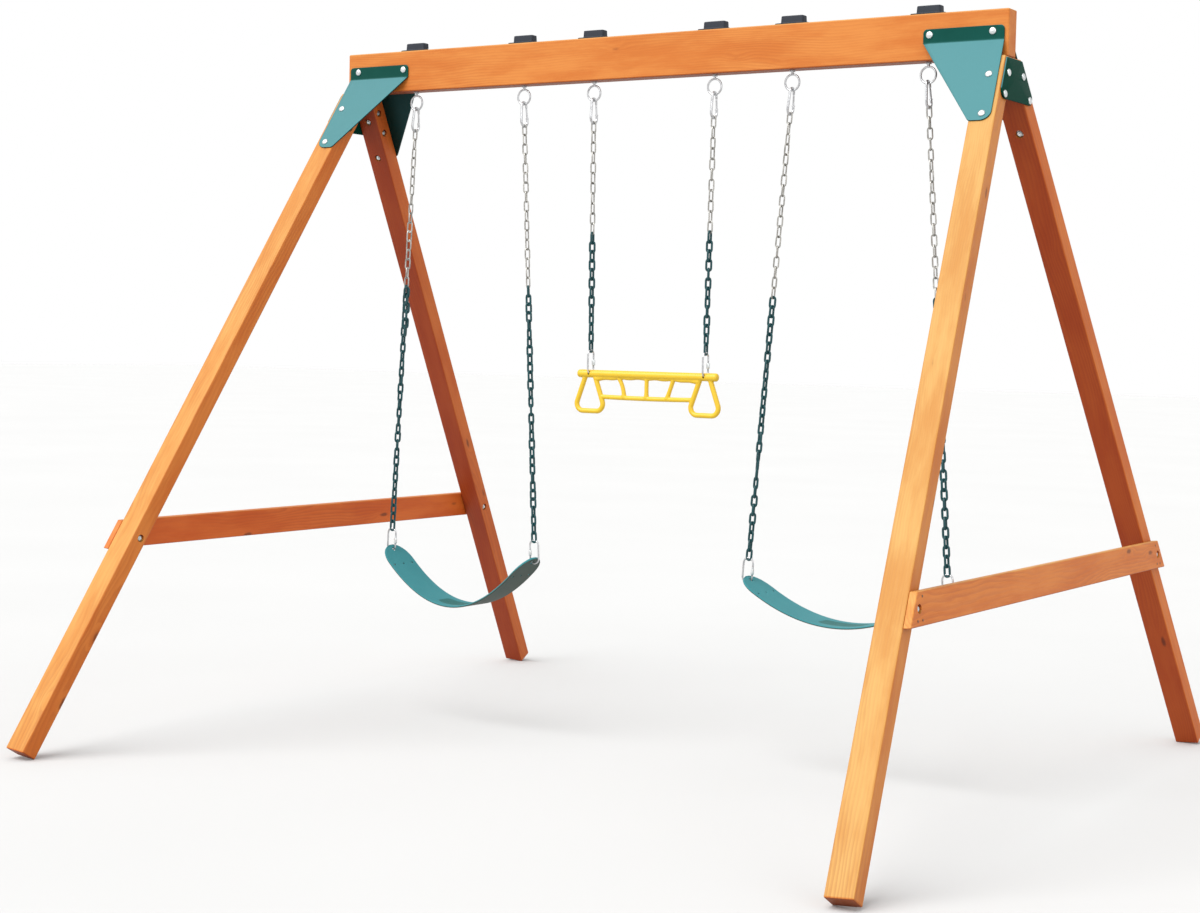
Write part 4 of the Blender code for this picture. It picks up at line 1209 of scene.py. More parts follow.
    def _end_plate(self, side: int) -> None:
        """The plate across both legs under the beam's end, with four bolts.

        Args:
            side: -1 on the left, 1 on the right.
        """
        word = side_word(side)
        rows = []
        first = self.beam_bottom - self.end_drop
        for level in (first, first - self.end_height):
            half = self.beam_half + (self.bend_level - level) * math.tan(self.tilt) - self.end_inset
            rows.append((half, (level - self.bend_level) * self.side_stretch))
        (top, high), (foot, low) = rows
        outline = rounded([(-top, high, 0.004), (-foot, low, self.end_corner),
                           (foot, low, self.end_corner), (top, high, 0.004)])
        shell = plate(outline, self.plate).moved(mirror(side) @ self.side)
        make_piece("end_plate_steel_" + word, shell, self.finishes.flat_green, "frame",
                   "end_plate_" + word)
        shells = []
        for down in self.end_bolts:
            place = self._side_bolt(down)
            inner = place - self.side_out * (self.leg_width / math.cos(self.splay) - self.recess)
            pair = [dome(self.head_radius, self.head_height).moved(
                        stand(place + self.side_out * self.plate, self.side_out)),
                    self._nut_stack().moved(stand(inner, -self.side_out))]
            for face in (1, -1):
                shells += [shape.moved(mirror(side, face)) for shape in pair]
        make_piece("end_plate_bolts_" + word, Shell.join(shells), self.finishes.bolt, "frame")

    def _brace_fasteners(self, side: int) -> None:
        """The bolt in its recess at each end of a brace, its nut inside, and three small screws.

        Args:
            side: -1 on the left, 1 on the right.
        """
        word = side_word(side)
        drop = self.bend_level - self.brace_level - self.leg_depth / 2 * math.sin(self.tilt)
        down = drop / (math.cos(self.tilt) * math.cos(self.splay))
        place = self._side_bolt(down)
        out = self.side_out
        seat = place + out * (self.brace_thickness - self.recess)
        inner = place - out * (self.leg_width / math.cos(self.splay) - self.recess)
        shells = [
            Shell.join([
                disc(self.washer_radius, self.washer_height),
                dome(self.brace_head_radius, self.brace_head_height, self.washer_height),
            ]).moved(stand(seat, out)),
            self._nut_stack().moved(stand(inner, -out)),
        ]
        up = self.side.to_3x3() @ Vector((0, 1, 0))
        screws = []
        for back, rise in self.screw_places:
            spot = place + Vector((0, back, 0)) + up * rise + out * (self.brace_thickness - 0.0004)
            screws.append(dome(self.screw_radius, self.screw_height).moved(stand(spot, out)))
        for title, group, finish in (("brace_bolts_", shells, self.finishes.bolt),
                                     ("brace_screws_", screws, self.finishes.screw)):
            both = Shell.join([
                shape.moved(mirror(side, face)) for shape in group for face in (1, -1)])
            make_piece(title + word, both, finish, "frame")


@dataclass
class Hanger:
    """One ring bolt through the beam, and the cap over its nut."""

    finishes: Finishes
    number: int
    beam_bottom: float
    beam_top: float
    ring_radius: float = 0.0248
    wire: float = 0.00325
    ring_drop: float = 0.0385
    washer: float = 0.0100
    cap_length: float = 0.078
    cap_depth: float = 0.032
    cap_height: float = 0.0265
    flange_length: float = 0.112
    flange_depth: float = 0.052
    flange_height: float = 0.003

    def build(self) -> None:
        """Makes the ring bolt and the cap."""
        low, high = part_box(f"ring_bolt_{self.number}")
        self.x = float(low.x + high.x) / 2
        self._ring()
        self._cap()

    def _ring(self) -> None:
        """A closed ring of wire, a flared neck, a collar nut, washers, and the nut on the beam."""
        middle = self.beam_bottom - self.ring_drop
        flat = arc((0, 0), self.ring_radius, 0, 360, 49)[:-1]
        path, normal = upright(flat, Plane.ALONG_BEAM)
        ring = sweep(path + (0, 0, middle), normal, self.wire, closed=True, columns=14)
        top = middle + self.ring_radius
        collar = self.beam_bottom - TOUCH
        heights = np.array([top, top + 0.001, top + 0.004, top + 0.006, collar, collar])
        neck = revolve(np.array([0, 0.0046, 0.0040, 0.0040, 0.0040, 0]), heights, 18)
        under = Shell.join([
            hexagonal(0.0165, 0.0042, collar - 0.0058), disc(self.washer, 0.0014, collar - 0.0014)])
        seat = self.beam_top + TOUCH
        above = Shell.join([
            disc(self.washer, 0.002, seat), hexagonal(0.0130, 0.0065, seat + 0.002)])
        tip = revolve(np.array([0, 0.0039, 0.0039, 0]),
                      seat + np.array([0.002, 0.002, 0.0125, 0.0125]), 16)
        parts = Shell.join([ring, neck, under, above, tip])
        shell = parts.moved(Matrix.Translation((self.x, 0, 0)))
        name = f"ring_bolt_{self.number}"
        make_piece("steel_" + name, shell, self.finishes.bent, "frame", name)

    def _cap(self) -> None:
        """A moulded cap: squared ovals carried up from a flange, over a fillet, to a crown."""
        base = self.beam_top + TOUCH
        half = np.array([self.flange_length, self.flange_depth]) / 2
        body = np.array([self.cap_length, self.cap_depth]) / 2
        turns = np.linspace(0, math.pi / 2, 7)
        fillet = 0.004
        crown = 0.0032
        rows = [(half, 0.0), (half, 0.0004), (half, self.flange_height - 0.001),
                (half - 0.001, self.flange_height)]
        rows += [
            (body + fillet * (1 - math.sin(t)), self.flange_height + fillet * (1 - math.cos(t)))
            for t in turns
        ]
        draft = 0.0008
        wall = self.cap_height - crown
        rows += [
            (body - draft - crown * (1 - math.cos(t)), wall + crown * math.sin(t)) for t in turns
        ]
        grid = [self._ring_of(reach, base + height) for reach, height in rows]
        low = self._ring_of(np.zeros(2), base)
        high = self._ring_of(np.zeros(2), base + self.cap_height + 0.0004)
        shell = Shell.from_grid(np.stack([low, *grid, high]))
        screws = []
        for side in (-1, 1):
            spot = (side * (self.cap_length / 2 + 0.0095), 0, base + self.flange_height)
            screws.append(dome(0.0038, 0.0022).moved(Matrix.Translation(spot)))
        move = Matrix.Translation((self.x, 0, 0))
        name = f"cap_{self.number}"
        make_piece("moulded_" + name, shell.moved(move), self.finishes.cap, "frame",
                   name)
        make_piece("cap_screws_" + str(self.number), Shell.join(screws).moved(move),
                   self.finishes.bolt, "frame")

    @staticmethod
    def _ring_of(reach: np.ndarray, height: float, count: int = 48) -> np.ndarray:
        """A squared oval: x = a sign(cos t)|cos t|^p, y = b sign(sin t)|sin t|^p.

        Args:
            reach: the half sizes a and b.
            height: the height that it lies at.
            count: how many points go round.

        Returns:
            The oval, as (count, 3).
        """
        turns = np.arange(count) * (2 * math.pi / count)
        power = 0.22
        x = reach[0] * np.sign(np.cos(turns)) * np.abs(np.cos(turns)) ** power
        y = reach[1] * np.sign(np.sin(turns)) * np.abs(np.sin(turns)) ** power
        return np.stack([x, y, np.full(count, height)], axis=1)


# ------------------------------------------------------------------ the swings


@dataclass
class HangingLine:
    """One side of a swing: snap hook, gate, chain, quick link and sleeve, down one leaning line.

    Attributes:
        finishes: the shared finishes.
        swing: the swing's name.
        end: which end of the swing this is.
        pivot: the middle of the ring's bottom wire.
        lean: how far the line leans outwards, in radians.
        hang: how far down the line the quick link's top wire is.
        bare: how far down the line the bare chain reaches.
        link_plane: the plane of the quick link.
        spare: how many spare links hang beside the chain.
    """

    finishes: Finishes
    swing: str
    end: End
    pivot: Vector
    lean: float
    hang: float
    bare: float
    link_plane: Plane
    spare: int = 0
    ring_wire: float = 0.00325
    slide: float = 0.0005
    hook_length: float = 0.090
    hook_wire: float = 0.004
    hook_top: float = 0.0125
    hook_foot: float = 0.0180
    gate_wire: float = 0.003
    gate_foot: float = 0.030
    gate_tip: float = 0.062
    chain_wire: float = 0.0025
    chain_width: float = 0.020
    chain_length: float = 0.043
    dip_wire: float = 0.00375
    dip_width: float = 0.0235
    dip_length: float = 0.0445
    quick_length: float = 0.085
    quick_width: float = 0.040
    quick_wire: float = 0.003
    quick_gap: float = 0.007
    sleeve_length: float = 0.018
    sleeve_flats: float = 0.0098

    def __post_init__(self) -> None:
        """Works out the line's frame and its heights."""
        turn = Matrix.Rotation(-self.end.value * self.lean, 4, "Y")
        self.frame = Matrix.Translation(self.pivot) @ turn
        self.top = self.ring_wire + self.hook_wire + self.slide
        self.foot = self.top - (self.hook_length - 2 * self.hook_wire)
        self.chain_top = self.foot + self.hook_wire + self.chain_wire + self.slide
        self.chain_foot = -self.hang - self.quick_wire - self.dip_wire - self.slide

    @property
    def chains(self) -> str:
        """The body of the swing's hooks and chains."""
        return self.swing + "_chains"

    def build(self) -> None:
        """Makes the line's pieces from the top down."""
        self._hook()
        self._gate()
        self._chain()
        self._quick_link()

    def _gate_line(self) -> tuple[np.ndarray, np.ndarray]:
        """The gate's hinge and tip, as (across, up)."""
        low, high = self.foot + self.hook_foot, self.top - self.hook_top
        heights = np.array([self.foot + self.gate_foot, self.foot + self.gate_tip])
        share = (heights - low) / (high - low)
        reach = self.hook_foot + (self.hook_top - self.hook_foot) * share
        return np.array([reach[0], heights[0]]), np.array([reach[1], heights[1]])

    def _hook(self) -> None:
        """The hook's wire: nose, narrow top bend, straight back, wide foot bend and heel."""
        hinge, tip = self._gate_line()
        nose = tip + (0, TOUCH + 0.0016)
        heel = hinge - (0, TOUCH + 0.0016)
        over = arc((0, self.top - self.hook_top), self.hook_top, 0, 180, 21)
        under = arc((0, self.foot + self.hook_foot), self.hook_foot, 180, 360, 25)
        back = over[-1] + (under[0] - over[-1]) * np.linspace(0, 1, 8)[1:-1, None]
        flat = np.concatenate([nose[None], over, back, under, heel[None]])
        path, normal = upright(flat, Plane.ACROSS_BEAM)
        wire = sweep(path, normal, self.hook_wire, columns=14)
        pin = sweep(np.array([[-0.0052, *heel + (0, 0.0004)], [0.0052, *heel + (0, 0.0004)]]),
                    Z_AXIS, 0.0016, columns=10)
        name = f"{self.swing}_hook_{self.end.word}"
        make_piece("bent_" + name, Shell.join([wire, pin]).moved(self.frame), self.finishes.bent,
                   self.chains, name)

    def _gate(self) -> None:
        """The gate: a straight wire, thicker at its hinge, and a little thinner towards its rounded
        tip.
        """
        hinge, tip = self._gate_line()
        share = np.linspace(0, 1, 15)
        flat = hinge + (tip - hinge) * share[:, None]
        path, normal = upright(flat, Plane.ACROSS_BEAM)
        radius = self.gate_wire * (1 + 0.18 * np.exp(-((share / 0.08) ** 2)) - 0.10 * (share > 0.9))
        name = f"{self.swing}_gate_{self.end.word}"
        make_piece("wire_" + name, sweep(path, normal, radius).moved(self.frame),
                   self.finishes.bent, name + "_body", name)

    def _chain(self) -> None:
        """The chain's links, bare above and dipped below, each at a quarter turn to the last."""
        first, last = self.chain_top, self.chain_foot
        bare_pitch = self.chain_length - 4 * self.chain_wire
        dip_pitch = self.dip_length - 4 * self.dip_wire
        bare = max(2, round((self.bare + first) / bare_pitch))
        joint = self.chain_length - 3 * self.chain_wire - self.dip_wire
        start = first - bare_pitch * (bare - 1) - joint
        odd = 0 if self.link_plane is Plane.ACROSS_BEAM else 1
        inside = self.dip_length - 2 * self.dip_wire
        count = max(2, round((start - last - inside) / dip_pitch) + 1)
        if (bare + count) % 2 != odd:
            count += 1
        tops = np.concatenate([first - bare_pitch * np.arange(bare),
                               start - dip_pitch * np.arange(count)])
        foot = tops[-1] - inside
        stretch = (first - last) / (first - foot)
        tops = first + (tops - first) * stretch
        rng = np.random.default_rng(abs(hash_word(self.swing + self.end.word)))
        twist = rng.normal(0, 0.26, len(tops))
        twist[[0, -1]] = 0
        turns = np.arange(len(tops)) % 2 * (math.pi / 2) + twist
        matrices = self._stations(tops, turns)
        bare_link = self._link(self.chain_length, self.chain_width, self.chain_wire, stretch)
        dip_link = self._link(self.dip_length, self.dip_width, self.dip_wire, stretch)
        name = f"{self.swing}_chain_{self.end.word}"
        make_piece("bare_" + name, bare_link.repeated(matrices[:bare]).moved(self.frame),
                   self.finishes.chain, self.chains)
        make_piece("dipped_" + name, dip_link.repeated(matrices[bare:]).moved(self.frame),
                   self.finishes.dip, self.chains, name)
        if self.spare:
            self._spare_links(tops[bare], dip_pitch * stretch, dip_link)

    def _spare_links(self, top: float, pitch: float, link: Shell) -> None:
        """The chain's spare end: links that hang in a short loop beside the first dipped ones.

        Args:
            top: the height of the first one's top.
            pitch: how far apart the chain's links are.
            link: one dipped link.
        """
        turns = np.arange(self.spare) % 2 * (math.pi / 2) + 0.6
        tops = top - 0.006 - pitch * 0.93 * np.arange(self.spare)
        matrices = self._stations(tops, turns)
        sway = np.sin(np.linspace(0.35, math.pi - 0.5, self.spare))
        matrices[:, 0, 3] = 0.008 + 0.010 * sway
        matrices[:, 1, 3] = -0.010 - 0.004 * sway
        name = f"spare_{self.swing}_chain_{self.end.word}"
        make_piece(name, link.repeated(matrices).moved(self.frame), self.finishes.dip, self.chains)

    @staticmethod
    def _stations(tops: np.ndarray, turns: np.ndarray) -> np.ndarray:
        """A matrix for each link: a turn about the line, at the height of the link's top.

        Args:
            tops: the height of each link's top.
            turns: each link's turn, in radians.

        Returns:
            The matrices, as (links, 4, 4).
        """
        matrices = np.tile(np.eye(4), (len(tops), 1, 1))
        matrices[:, 0, 0] = matrices[:, 1, 1] = np.cos(turns)
        matrices[:, 1, 0] = np.sin(turns)
        matrices[:, 0, 1] = -np.sin(turns)
        matrices[:, 2, 3] = tops
        return matrices

    @staticmethod
    def _link(length: float, width: float, wire: float, stretch: float) -> Shell:
        """One link, its centre line an oval, a little longer by the chain's stretch."""
        longer = 2 * wire + (length - 2 * wire) * stretch
        path, normal = upright(oval(longer, width, wire, 7), Plane.ALONG_BEAM)
        return sweep(path, normal, wire, closed=True, columns=7)

    def _quick_link(self) -> None:
        """The quick link's wire with its threaded ends, and the sleeve over the gap."""
        half = self.quick_width / 2 - self.quick_wire
        middle = -(self.quick_length - 2 * self.quick_wire) / 2
        bend = oval(self.quick_length, self.quick_width, self.quick_wire, 19)
        threads = np.linspace(0, 0.012, 25)[:, None] * (0, 1)
        upper = np.array((half, middle)) + threads
        lower = np.array((half, middle - self.quick_gap)) - threads[::-1]
        flat = np.concatenate([upper, bend, lower])
        radius = np.full(len(flat), self.quick_wire)
        wave = 0.00022 * np.cos(np.arange(25) * math.pi)
        radius[:25] += wave - 0.0002
        radius[-25:] += wave - 0.0002
        path, normal = upright(flat, Plane.ALONG_BEAM)
        wire = sweep(path, normal, radius)
        level = middle - self.quick_gap / 2
        nut = sleeve(self.sleeve_flats, self.quick_wire + self.slide, self.sleeve_length,
                     level - self.sleeve_length / 2).moved(Matrix.Translation((half, 0, 0)))
        if self.link_plane is Plane.ALONG_BEAM:
            turn = mirror(-self.end.value)
            frame = self.frame @ Matrix.Translation((0, 0, -self.hang)) @ turn
        else:
            place = self.frame @ Vector((0, 0, -self.hang))
            frame = Matrix.Translation(place) @ Matrix.Rotation(math.pi / 2, 4, "Z")
        name = f"{self.swing}_quick_link_{self.end.word}"
        make_piece("steel_" + name, wire.moved(frame), self.finishes.bent, self.swing + "_seat",
                   name)
        name = f"{self.swing}_sleeve_{self.end.word}"
        make_piece("hexagon_" + name, nut.moved(frame), self.finishes.bolt, name + "_body",
                   name)


def hash_word(word: str) -> int:
    """A fixed number for a word, from its letters' codes."""
    return sum((index + 1) * ord(letter) for index, letter in enumerate(word))


@dataclass
class BeltSeat:
    """A rubber belt seat: a flat strip with round ends, hung in a parabola.

    Attributes:
        finishes: the shared finishes; not used.
        swing: the swing's name.
        centre: the x of its middle.
        span: how far apart its slots hang.
        level: the height of its slots.
    """

    finishes: Finishes
    swing: str
    centre: float
    span: float
    level: float
    slot_spacing: float = 0.710
    tip: float = 0.020
    width: float = 0.140
    thickness: float = 0.0065
    slot_length: float = 0.010
    hole: float = 0.0060
    hole_inset: float = 0.066
    grip_length: float = 0.150
    grip_width: float = 0.074

    def steepness(self) -> float:
        """The factor k of z = k x^2 for which the belt between its slots has its own length."""
        half = self.span / 2
        low, high = 1e-3, 60.0
        for _ in range(80):
            k = (low + high) / 2
            rise = 2 * k * half
            length = half * math.sqrt(1 + rise * rise) + math.asinh(rise) / (2 * k)
            low, high = (k, high) if length < self.slot_spacing else (low, k)
        return k

    def table(self) -> tuple[np.ndarray, np.ndarray, np.ndarray]:
        """Lengths along the belt from its middle, with their x and z."""
        x = np.linspace(0, self.span, 2001)
        z = self.steepness() * x * x
        length = np.concatenate([[0.0], np.cumsum(np.hypot(np.diff(x), np.diff(z)))])
        return length, x, z

    def _stations(self) -> tuple[np.ndarray, list[tuple[float, float]]]:
        """Lengths of the grid's rows, with a pair at each slot and hole, and those pairs."""
        slot = self.slot_spacing / 2
        end = slot + self.tip
        marks = [(slot - self.slot_length / 2, slot + self.slot_length / 2),
                 (slot - self.hole_inset - self.hole / 2, slot - self.hole_inset + self.hole / 2)]
        outer = end - (self.width / 2) * (1 - np.cos(np.linspace(0.05, 0.5, 4)))
        inner = np.linspace(0, slot - self.hole_inset - self.hole, 19)
        middle = np.linspace(slot - self.hole_inset + self.hole, slot - self.slot_length, 5)
        every = np.concatenate([inner, middle, np.array(marks).ravel(), outer])
        half = np.unique(np.round(every, 6))
        return np.concatenate([-half[:0:-1], half]), marks

    def build(self) -> None:
        """Makes the belt: a sheet with its slots and holes left out, then its wall."""
        along, marks = self._stations()
        half_columns = np.array([0.043, 0.1, 0.19, 0.34, 0.5, 0.657, 0.743, 0.85, 0.94, 1])
        columns = np.concatenate([-half_columns[::-1], half_columns])
        length, x, z = self.table()
        end = self.slot_spacing / 2 + self.tip
        round_end = self.width / 2
        past = np.clip(np.abs(along) - (end - round_end), 0, round_end)
        half = np.sqrt(round_end**2 - past**2)
        squeeze = np.clip(past / round_end, 0, 1)[:, None]
        even = columns[None] * half[:, None]
        fixed = columns[None] * round_end
        keep = np.where(np.abs(fixed) < half[:, None] * 0.80, fixed, even)
        across = keep * (squeeze > 0) + fixed * (squeeze == 0)
        out = np.interp(np.abs(along), length, x) * np.sign(along)
        base = float(np.interp(self.slot_spacing / 2, length, z))
        up = np.interp(np.abs(along), length, z) - base + self.level
        grid = np.stack([np.broadcast_to((self.centre + out)[:, None], across.shape), across,
                         np.broadcast_to(up[:, None], across.shape)], axis=-1)
        shell = Shell.from_grid(grid, wrap_columns=False)
        shell = self._cut(shell, along, columns, marks)
        self._finish(shell, base)

    def _cut(
        self, shell: Shell, along: np.ndarray, columns: np.ndarray, marks: list[tuple[float, float]]
    ) -> Shell:
        """Leaves out the faces over the slots and the small holes.

        Args:
            shell: the whole sheet.
            along: each row's length from the middle.
            columns: each column's share of the half width.
            marks: the row pairs of the slot and of the holes.

        Returns:
            The sheet with its openings.
        """
        middle = (np.abs(along[:-1]) + np.abs(along[1:])) / 2
        side = np.abs(columns[:-1] + columns[1:]) / 2
        slot = (middle > marks[0][0]) & (middle < marks[0][1])
        hole = (middle > marks[1][0]) & (middle < marks[1][1])
        opening = slot[:, None] & (side < 0.1)[None]
        opening |= hole[:, None] & ((side < 0.04) | (np.abs(side - 0.70) < 0.04))[None]
        return Shell(shell.points, shell.faces[~opening.ravel()])

    def _finish(self, shell: Shell, base: float) -> None:
        """Thickens, subdivides and dresses the belt, and marks its grip patch.

        Args:
            shell: the belt's sheet with its openings left out.
            base: how far the slots are above the belt's lowest point.
        """
        name = self.swing + "_belt"
        obj = link_piece("rubber_" + name, to_mesh("rubber_" + name, shell))
        wall = obj.modifiers.new("wall", "SOLIDIFY")
        wall.thickness = self.thickness
        wall.offset = 0.0
        smooth = obj.modifiers.new("smooth", "SUBSURF")
        smooth.levels = smooth.render_levels = 2
        bpy.context.view_layer.update()
        apply_modifiers(obj)
        face_outward(obj.data)
        self._mark_grip(obj.data)
        rubber = BeltRubber("belt_rubber_" + self.swing, (self.centre, 0.0, self.level - base))
        dress(obj, rubber.material(), math.radians(60))
        settle(obj, self.swing + "_seat", name)

    def _mark_grip(self, mesh: bpy.types.Mesh) -> None:
        """Marks the grip patch, 1 in a rounded rectangle on the belt's top and 0 beyond its edge,
        and the underside that gets painted shade.

        Args:
            mesh: the belt's finished mesh.
        """
        points = np.empty(len(mesh.vertices) * 3, np.float32)
        mesh.vertices.foreach_get("co", points)
        normals = np.empty(len(mesh.vertices) * 3, np.float32)
        mesh.vertices.foreach_get("normal", normals)
        points, normals = points.reshape(-1, 3), normals.reshape(-1, 3)
        x = np.abs(points[:, 0] - self.centre) / (self.grip_length / 2)
        y = np.abs(points[:, 1]) / (self.grip_width / 2)
        edge = (x**6 + y**6) ** (1 / 6)
        mark = np.clip((1.06 - edge) / 0.12, 0, 1) * (normals[:, 2] > 0.3)
        # The mask for the painted shade: 1 where the belt faces down.
        under = np.clip((0.05 - normals[:, 2]) / 0.10, 0, 1)
        points -= normals * (0.0007 * mark)[:, None]
        mesh.vertices.foreach_set("co", points.ravel())
        for title, values in (("grip", mark), ("underside", under)):
            layer = mesh.attributes.new(title, "FLOAT", "POINT")
            layer.data.foreach_set("value", values.astype(np.float32))


@dataclass
class TrapezeBar:
    """The moulded trapeze: a bar with two ring handles, a rail and three struts, fused in one."""

    finishes: Finishes
    place: Vector
    spread: float = 0.440
    bar_length: float = 0.530
    bar_radius: float = 0.0130
    link_wire: float = 0.003
    link_radius: float = 0.017
    link_clearance: float = 0.001
    tube: float = 0.0085
    handle_width: float = 0.123
    handle_top: float = 0.032
    handle_drop: float = 0.1235
    handle_corner: float = 0.024
    rail_drop: float = 0.075
    rail: float = 0.0078
    strut: float = 0.0071
    voxel: float = 0.0014

    def build(self) -> None:
        """Makes the moulding from overlapping wires, fused by voxels and smoothed."""
        name = "moulded_trapeze_bar"
        parts = [self._bar(), self._rail(), *self._struts(), *self._handles(), self._web()]
        obj = link_piece(name, to_mesh(name, Shell.join(parts)))
        fuse = obj.modifiers.new("fuse", "REMESH")
        fuse.mode = "VOXEL"
        fuse.voxel_size = self.voxel * 1
        ease = obj.modifiers.new("ease", "SMOOTH")
        ease.factor = 0.5
        ease.iterations = 6
        bpy.context.view_layer.update()
        apply_modifiers(obj)
        self._open_slots(obj)
        obj.data.transform(Matrix.Translation(self.place))
        dress(obj, self.finishes.yellow, math.radians(50))
        settle(obj, "trapeze_seat", "trapeze_bar")

    def _bar(self) -> Shell:
        """The bar: a cylinder along X that swells a little at its ends, with crowned caps."""
        x = np.linspace(-self.bar_length / 2 + 0.004, self.bar_length / 2 - 0.004, 61)
        radius = self.bar_radius * (1 + 0.05 * np.exp(-(((np.abs(x) - 0.245) / 0.02) ** 2)))
        path = np.stack([x, np.zeros_like(x), np.zeros_like(x)], axis=1)
        return sweep(path, Y_AXIS, radius, columns=32)

    def _handle_outline(self) -> np.ndarray:
        """A ring handle's centre line: narrow at the bar, with round corners below."""
        half, top = self.handle_width / 2, self.handle_top / 2
        return rounded([(-top, 0.0, 0.004), (-half, -self.handle_drop, self.handle_corner),
                        (half, -self.handle_drop, self.handle_corner), (top, 0.0, 0.004)], 13)

    def _handles(self) -> list[Shell]:
        """Both ring handles, closed through the bar."""
        path, normal = upright(self._handle_outline(), Plane.ALONG_BEAM)
        places = [path + (side * self.spread / 2, 0, 0) for side in (-1, 1)]
        return [sweep(place, normal, self.tube, closed=True, columns=20) for place in places]

    def _handle_edge(self, drop: float) -> float:
        """Half the width of a handle's centre line at a drop under the bar."""
        half, top = self.handle_width / 2, self.handle_top / 2
        return top + (half - top) * drop / self.handle_drop

    def _rail(self) -> Shell:
        """The rail between the handles, bowed down a little in its middle."""
        reach = self.spread / 2 - self._handle_edge(self.rail_drop)
        x = np.linspace(-reach, reach, 41)
        z = -self.rail_drop - 0.002 * (1 - (x / reach) ** 2)
        return sweep(np.stack([x, np.zeros_like(x), z], axis=1), Y_AXIS, self.rail, columns=16)

    def _struts(self) -> list[Shell]:
        """Three struts, wider where they meet the bar and the rail; the left one curves."""
        shells = []
        t = np.linspace(0, 1, 21)
        flare = 1 + 0.35 * np.abs(2 * t - 1) ** 4
        for high, low, bow in ((-0.115, -0.086, 0.007), (0.0, 0.0, 0.0), (0.106, 0.079, 0.0)):
            x = high + (low - high) * t + bow * np.sin(math.pi * t)
            path = np.stack([x, np.zeros_like(t), -self.rail_drop * t], axis=1)
            shells.append(sweep(path, Y_AXIS, self.strut * flare, columns=16))
        return shells

    def _web(self) -> Shell:
        """The low web under the bar, deeper towards the handles and in a slow wave between them."""
        x = np.linspace(-1, 1, 61)
        reach = self.spread / 2 - self._handle_edge(0.02)
        belly = 0.004 + 0.010 * np.abs(x) ** 3 + 0.003 * np.cos(3 * math.pi * x) ** 2
        z = -self.bar_radius * 0.55 - belly * 0.5
        path = np.stack([x * reach, np.zeros_like(x), z], axis=1)
        return sweep(path, Y_AXIS, 0.0058 + belly * 0.25, columns=16)

    def _open_slots(self, obj: bpy.types.Object) -> None:
        """Cuts the slots that the quick links pass through.

        Args:
            obj: the fused bar, about its own middle.
        """
        half = self.link_wire + self.link_clearance
        rise = self.link_radius - math.sqrt(self.link_radius**2 - self.bar_radius**2)
        for side in (-1, 1):
            corners = ((-half, -half), (half, -half), (half, rise + half), (-half, rise + half))
            outline = rounded([(*corner, half * 0.95) for corner in corners], 6)
            place = Matrix.Translation((side * self.spread / 2, 0.03, 0))
            turn = Matrix.Rotation(math.pi / 2, 4, "X")
            cutter = plate(outline, 0.06, 0.0002).moved(place @ turn)
            tool = link_piece("slot_cutter", to_mesh("slot_cutter", cutter))
            cut = obj.modifiers.new("slot", "BOOLEAN")
            cut.operation = "DIFFERENCE"
            cut.solver = "EXACT"
            cut.object = tool
            bpy.context.view_layer.update()
            apply_modifiers(obj)
            bpy.data.objects.remove(tool)


@dataclass
class Swing:
    """One swing: two hanging lines and what they carry."""

    finishes: Finishes
    name: str
    span: float | None
    bare: float
    ring_gap: float = 0.458
    belt_hang: float = 1.4727
    bar_hang: float = 0.8207
    bar_spread: float = 0.440
    quick_length: float = 0.085
    quick_width: float = 0.040
    quick_wire: float = 0.003

    def build(self, joints: list[dict[str, Any]]) -> None:
        """Makes the swing about its packed pivot.

        Args:
            joints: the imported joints, which hold the pivot's place.
        """
        pivot = next(joint["pos_m"] for joint in joints if joint["name"] == self.name + "_swing")
        centre, level = float(pivot[0]), float(pivot[2])
        radius = self.quick_width / 2 - self.quick_wire
        if self.span is None:
            lean = math.asin((self.bar_spread - self.ring_gap) / 2 / self.bar_hang)
            self._lines(centre, level, lean, self.bar_hang, Plane.ACROSS_BEAM)
            drop = self.bar_hang * math.cos(lean) + self.quick_length - 2 * self.quick_wire
            TrapezeBar(self.finishes, Vector((centre, 0, level - drop))).build()
            return
        belt = BeltSeat(self.finishes, self.name, centre, self.span, 0.0)
        length, x, _ = belt.table()
        slot_x = float(np.interp(belt.slot_spacing / 2, length, x))
        slope = Vector((1, 0, 2 * belt.steepness() * slot_x)).normalized()
        drop = self.belt_hang + self.quick_length - 2 * self.quick_wire - radius
        lean = math.asin((slot_x + slope.x * radius - self.ring_gap / 2) / drop)
        belt.level = level - drop * math.cos(lean) - slope.z * radius
        self._lines(centre, level, lean, self.belt_hang, Plane.ALONG_BEAM)
        belt.build()

    def _lines(self, centre: float, level: float, lean: float, hang: float, plane: Plane) -> None:
        """Makes both hanging lines.

        Args:
            centre: the x of the swing's middle.
            level: the height of the pivot.
            lean: how far a line leans outwards, in radians.
            hang: how far down its line the quick link's top wire is.
            plane: the plane of the quick links.
        """
        for end in End:
            pivot = Vector((centre + end.value * self.ring_gap / 2, 0, level))
            spare = SPARE_LINKS if (self.name, end) == ("left_swing", End.LEFT) else 0
            HangingLine(
                self.finishes, self.name, end, pivot, lean, hang, self.bare, plane, spare
            ).build()


# ---------------------------------------------------------------------- studio


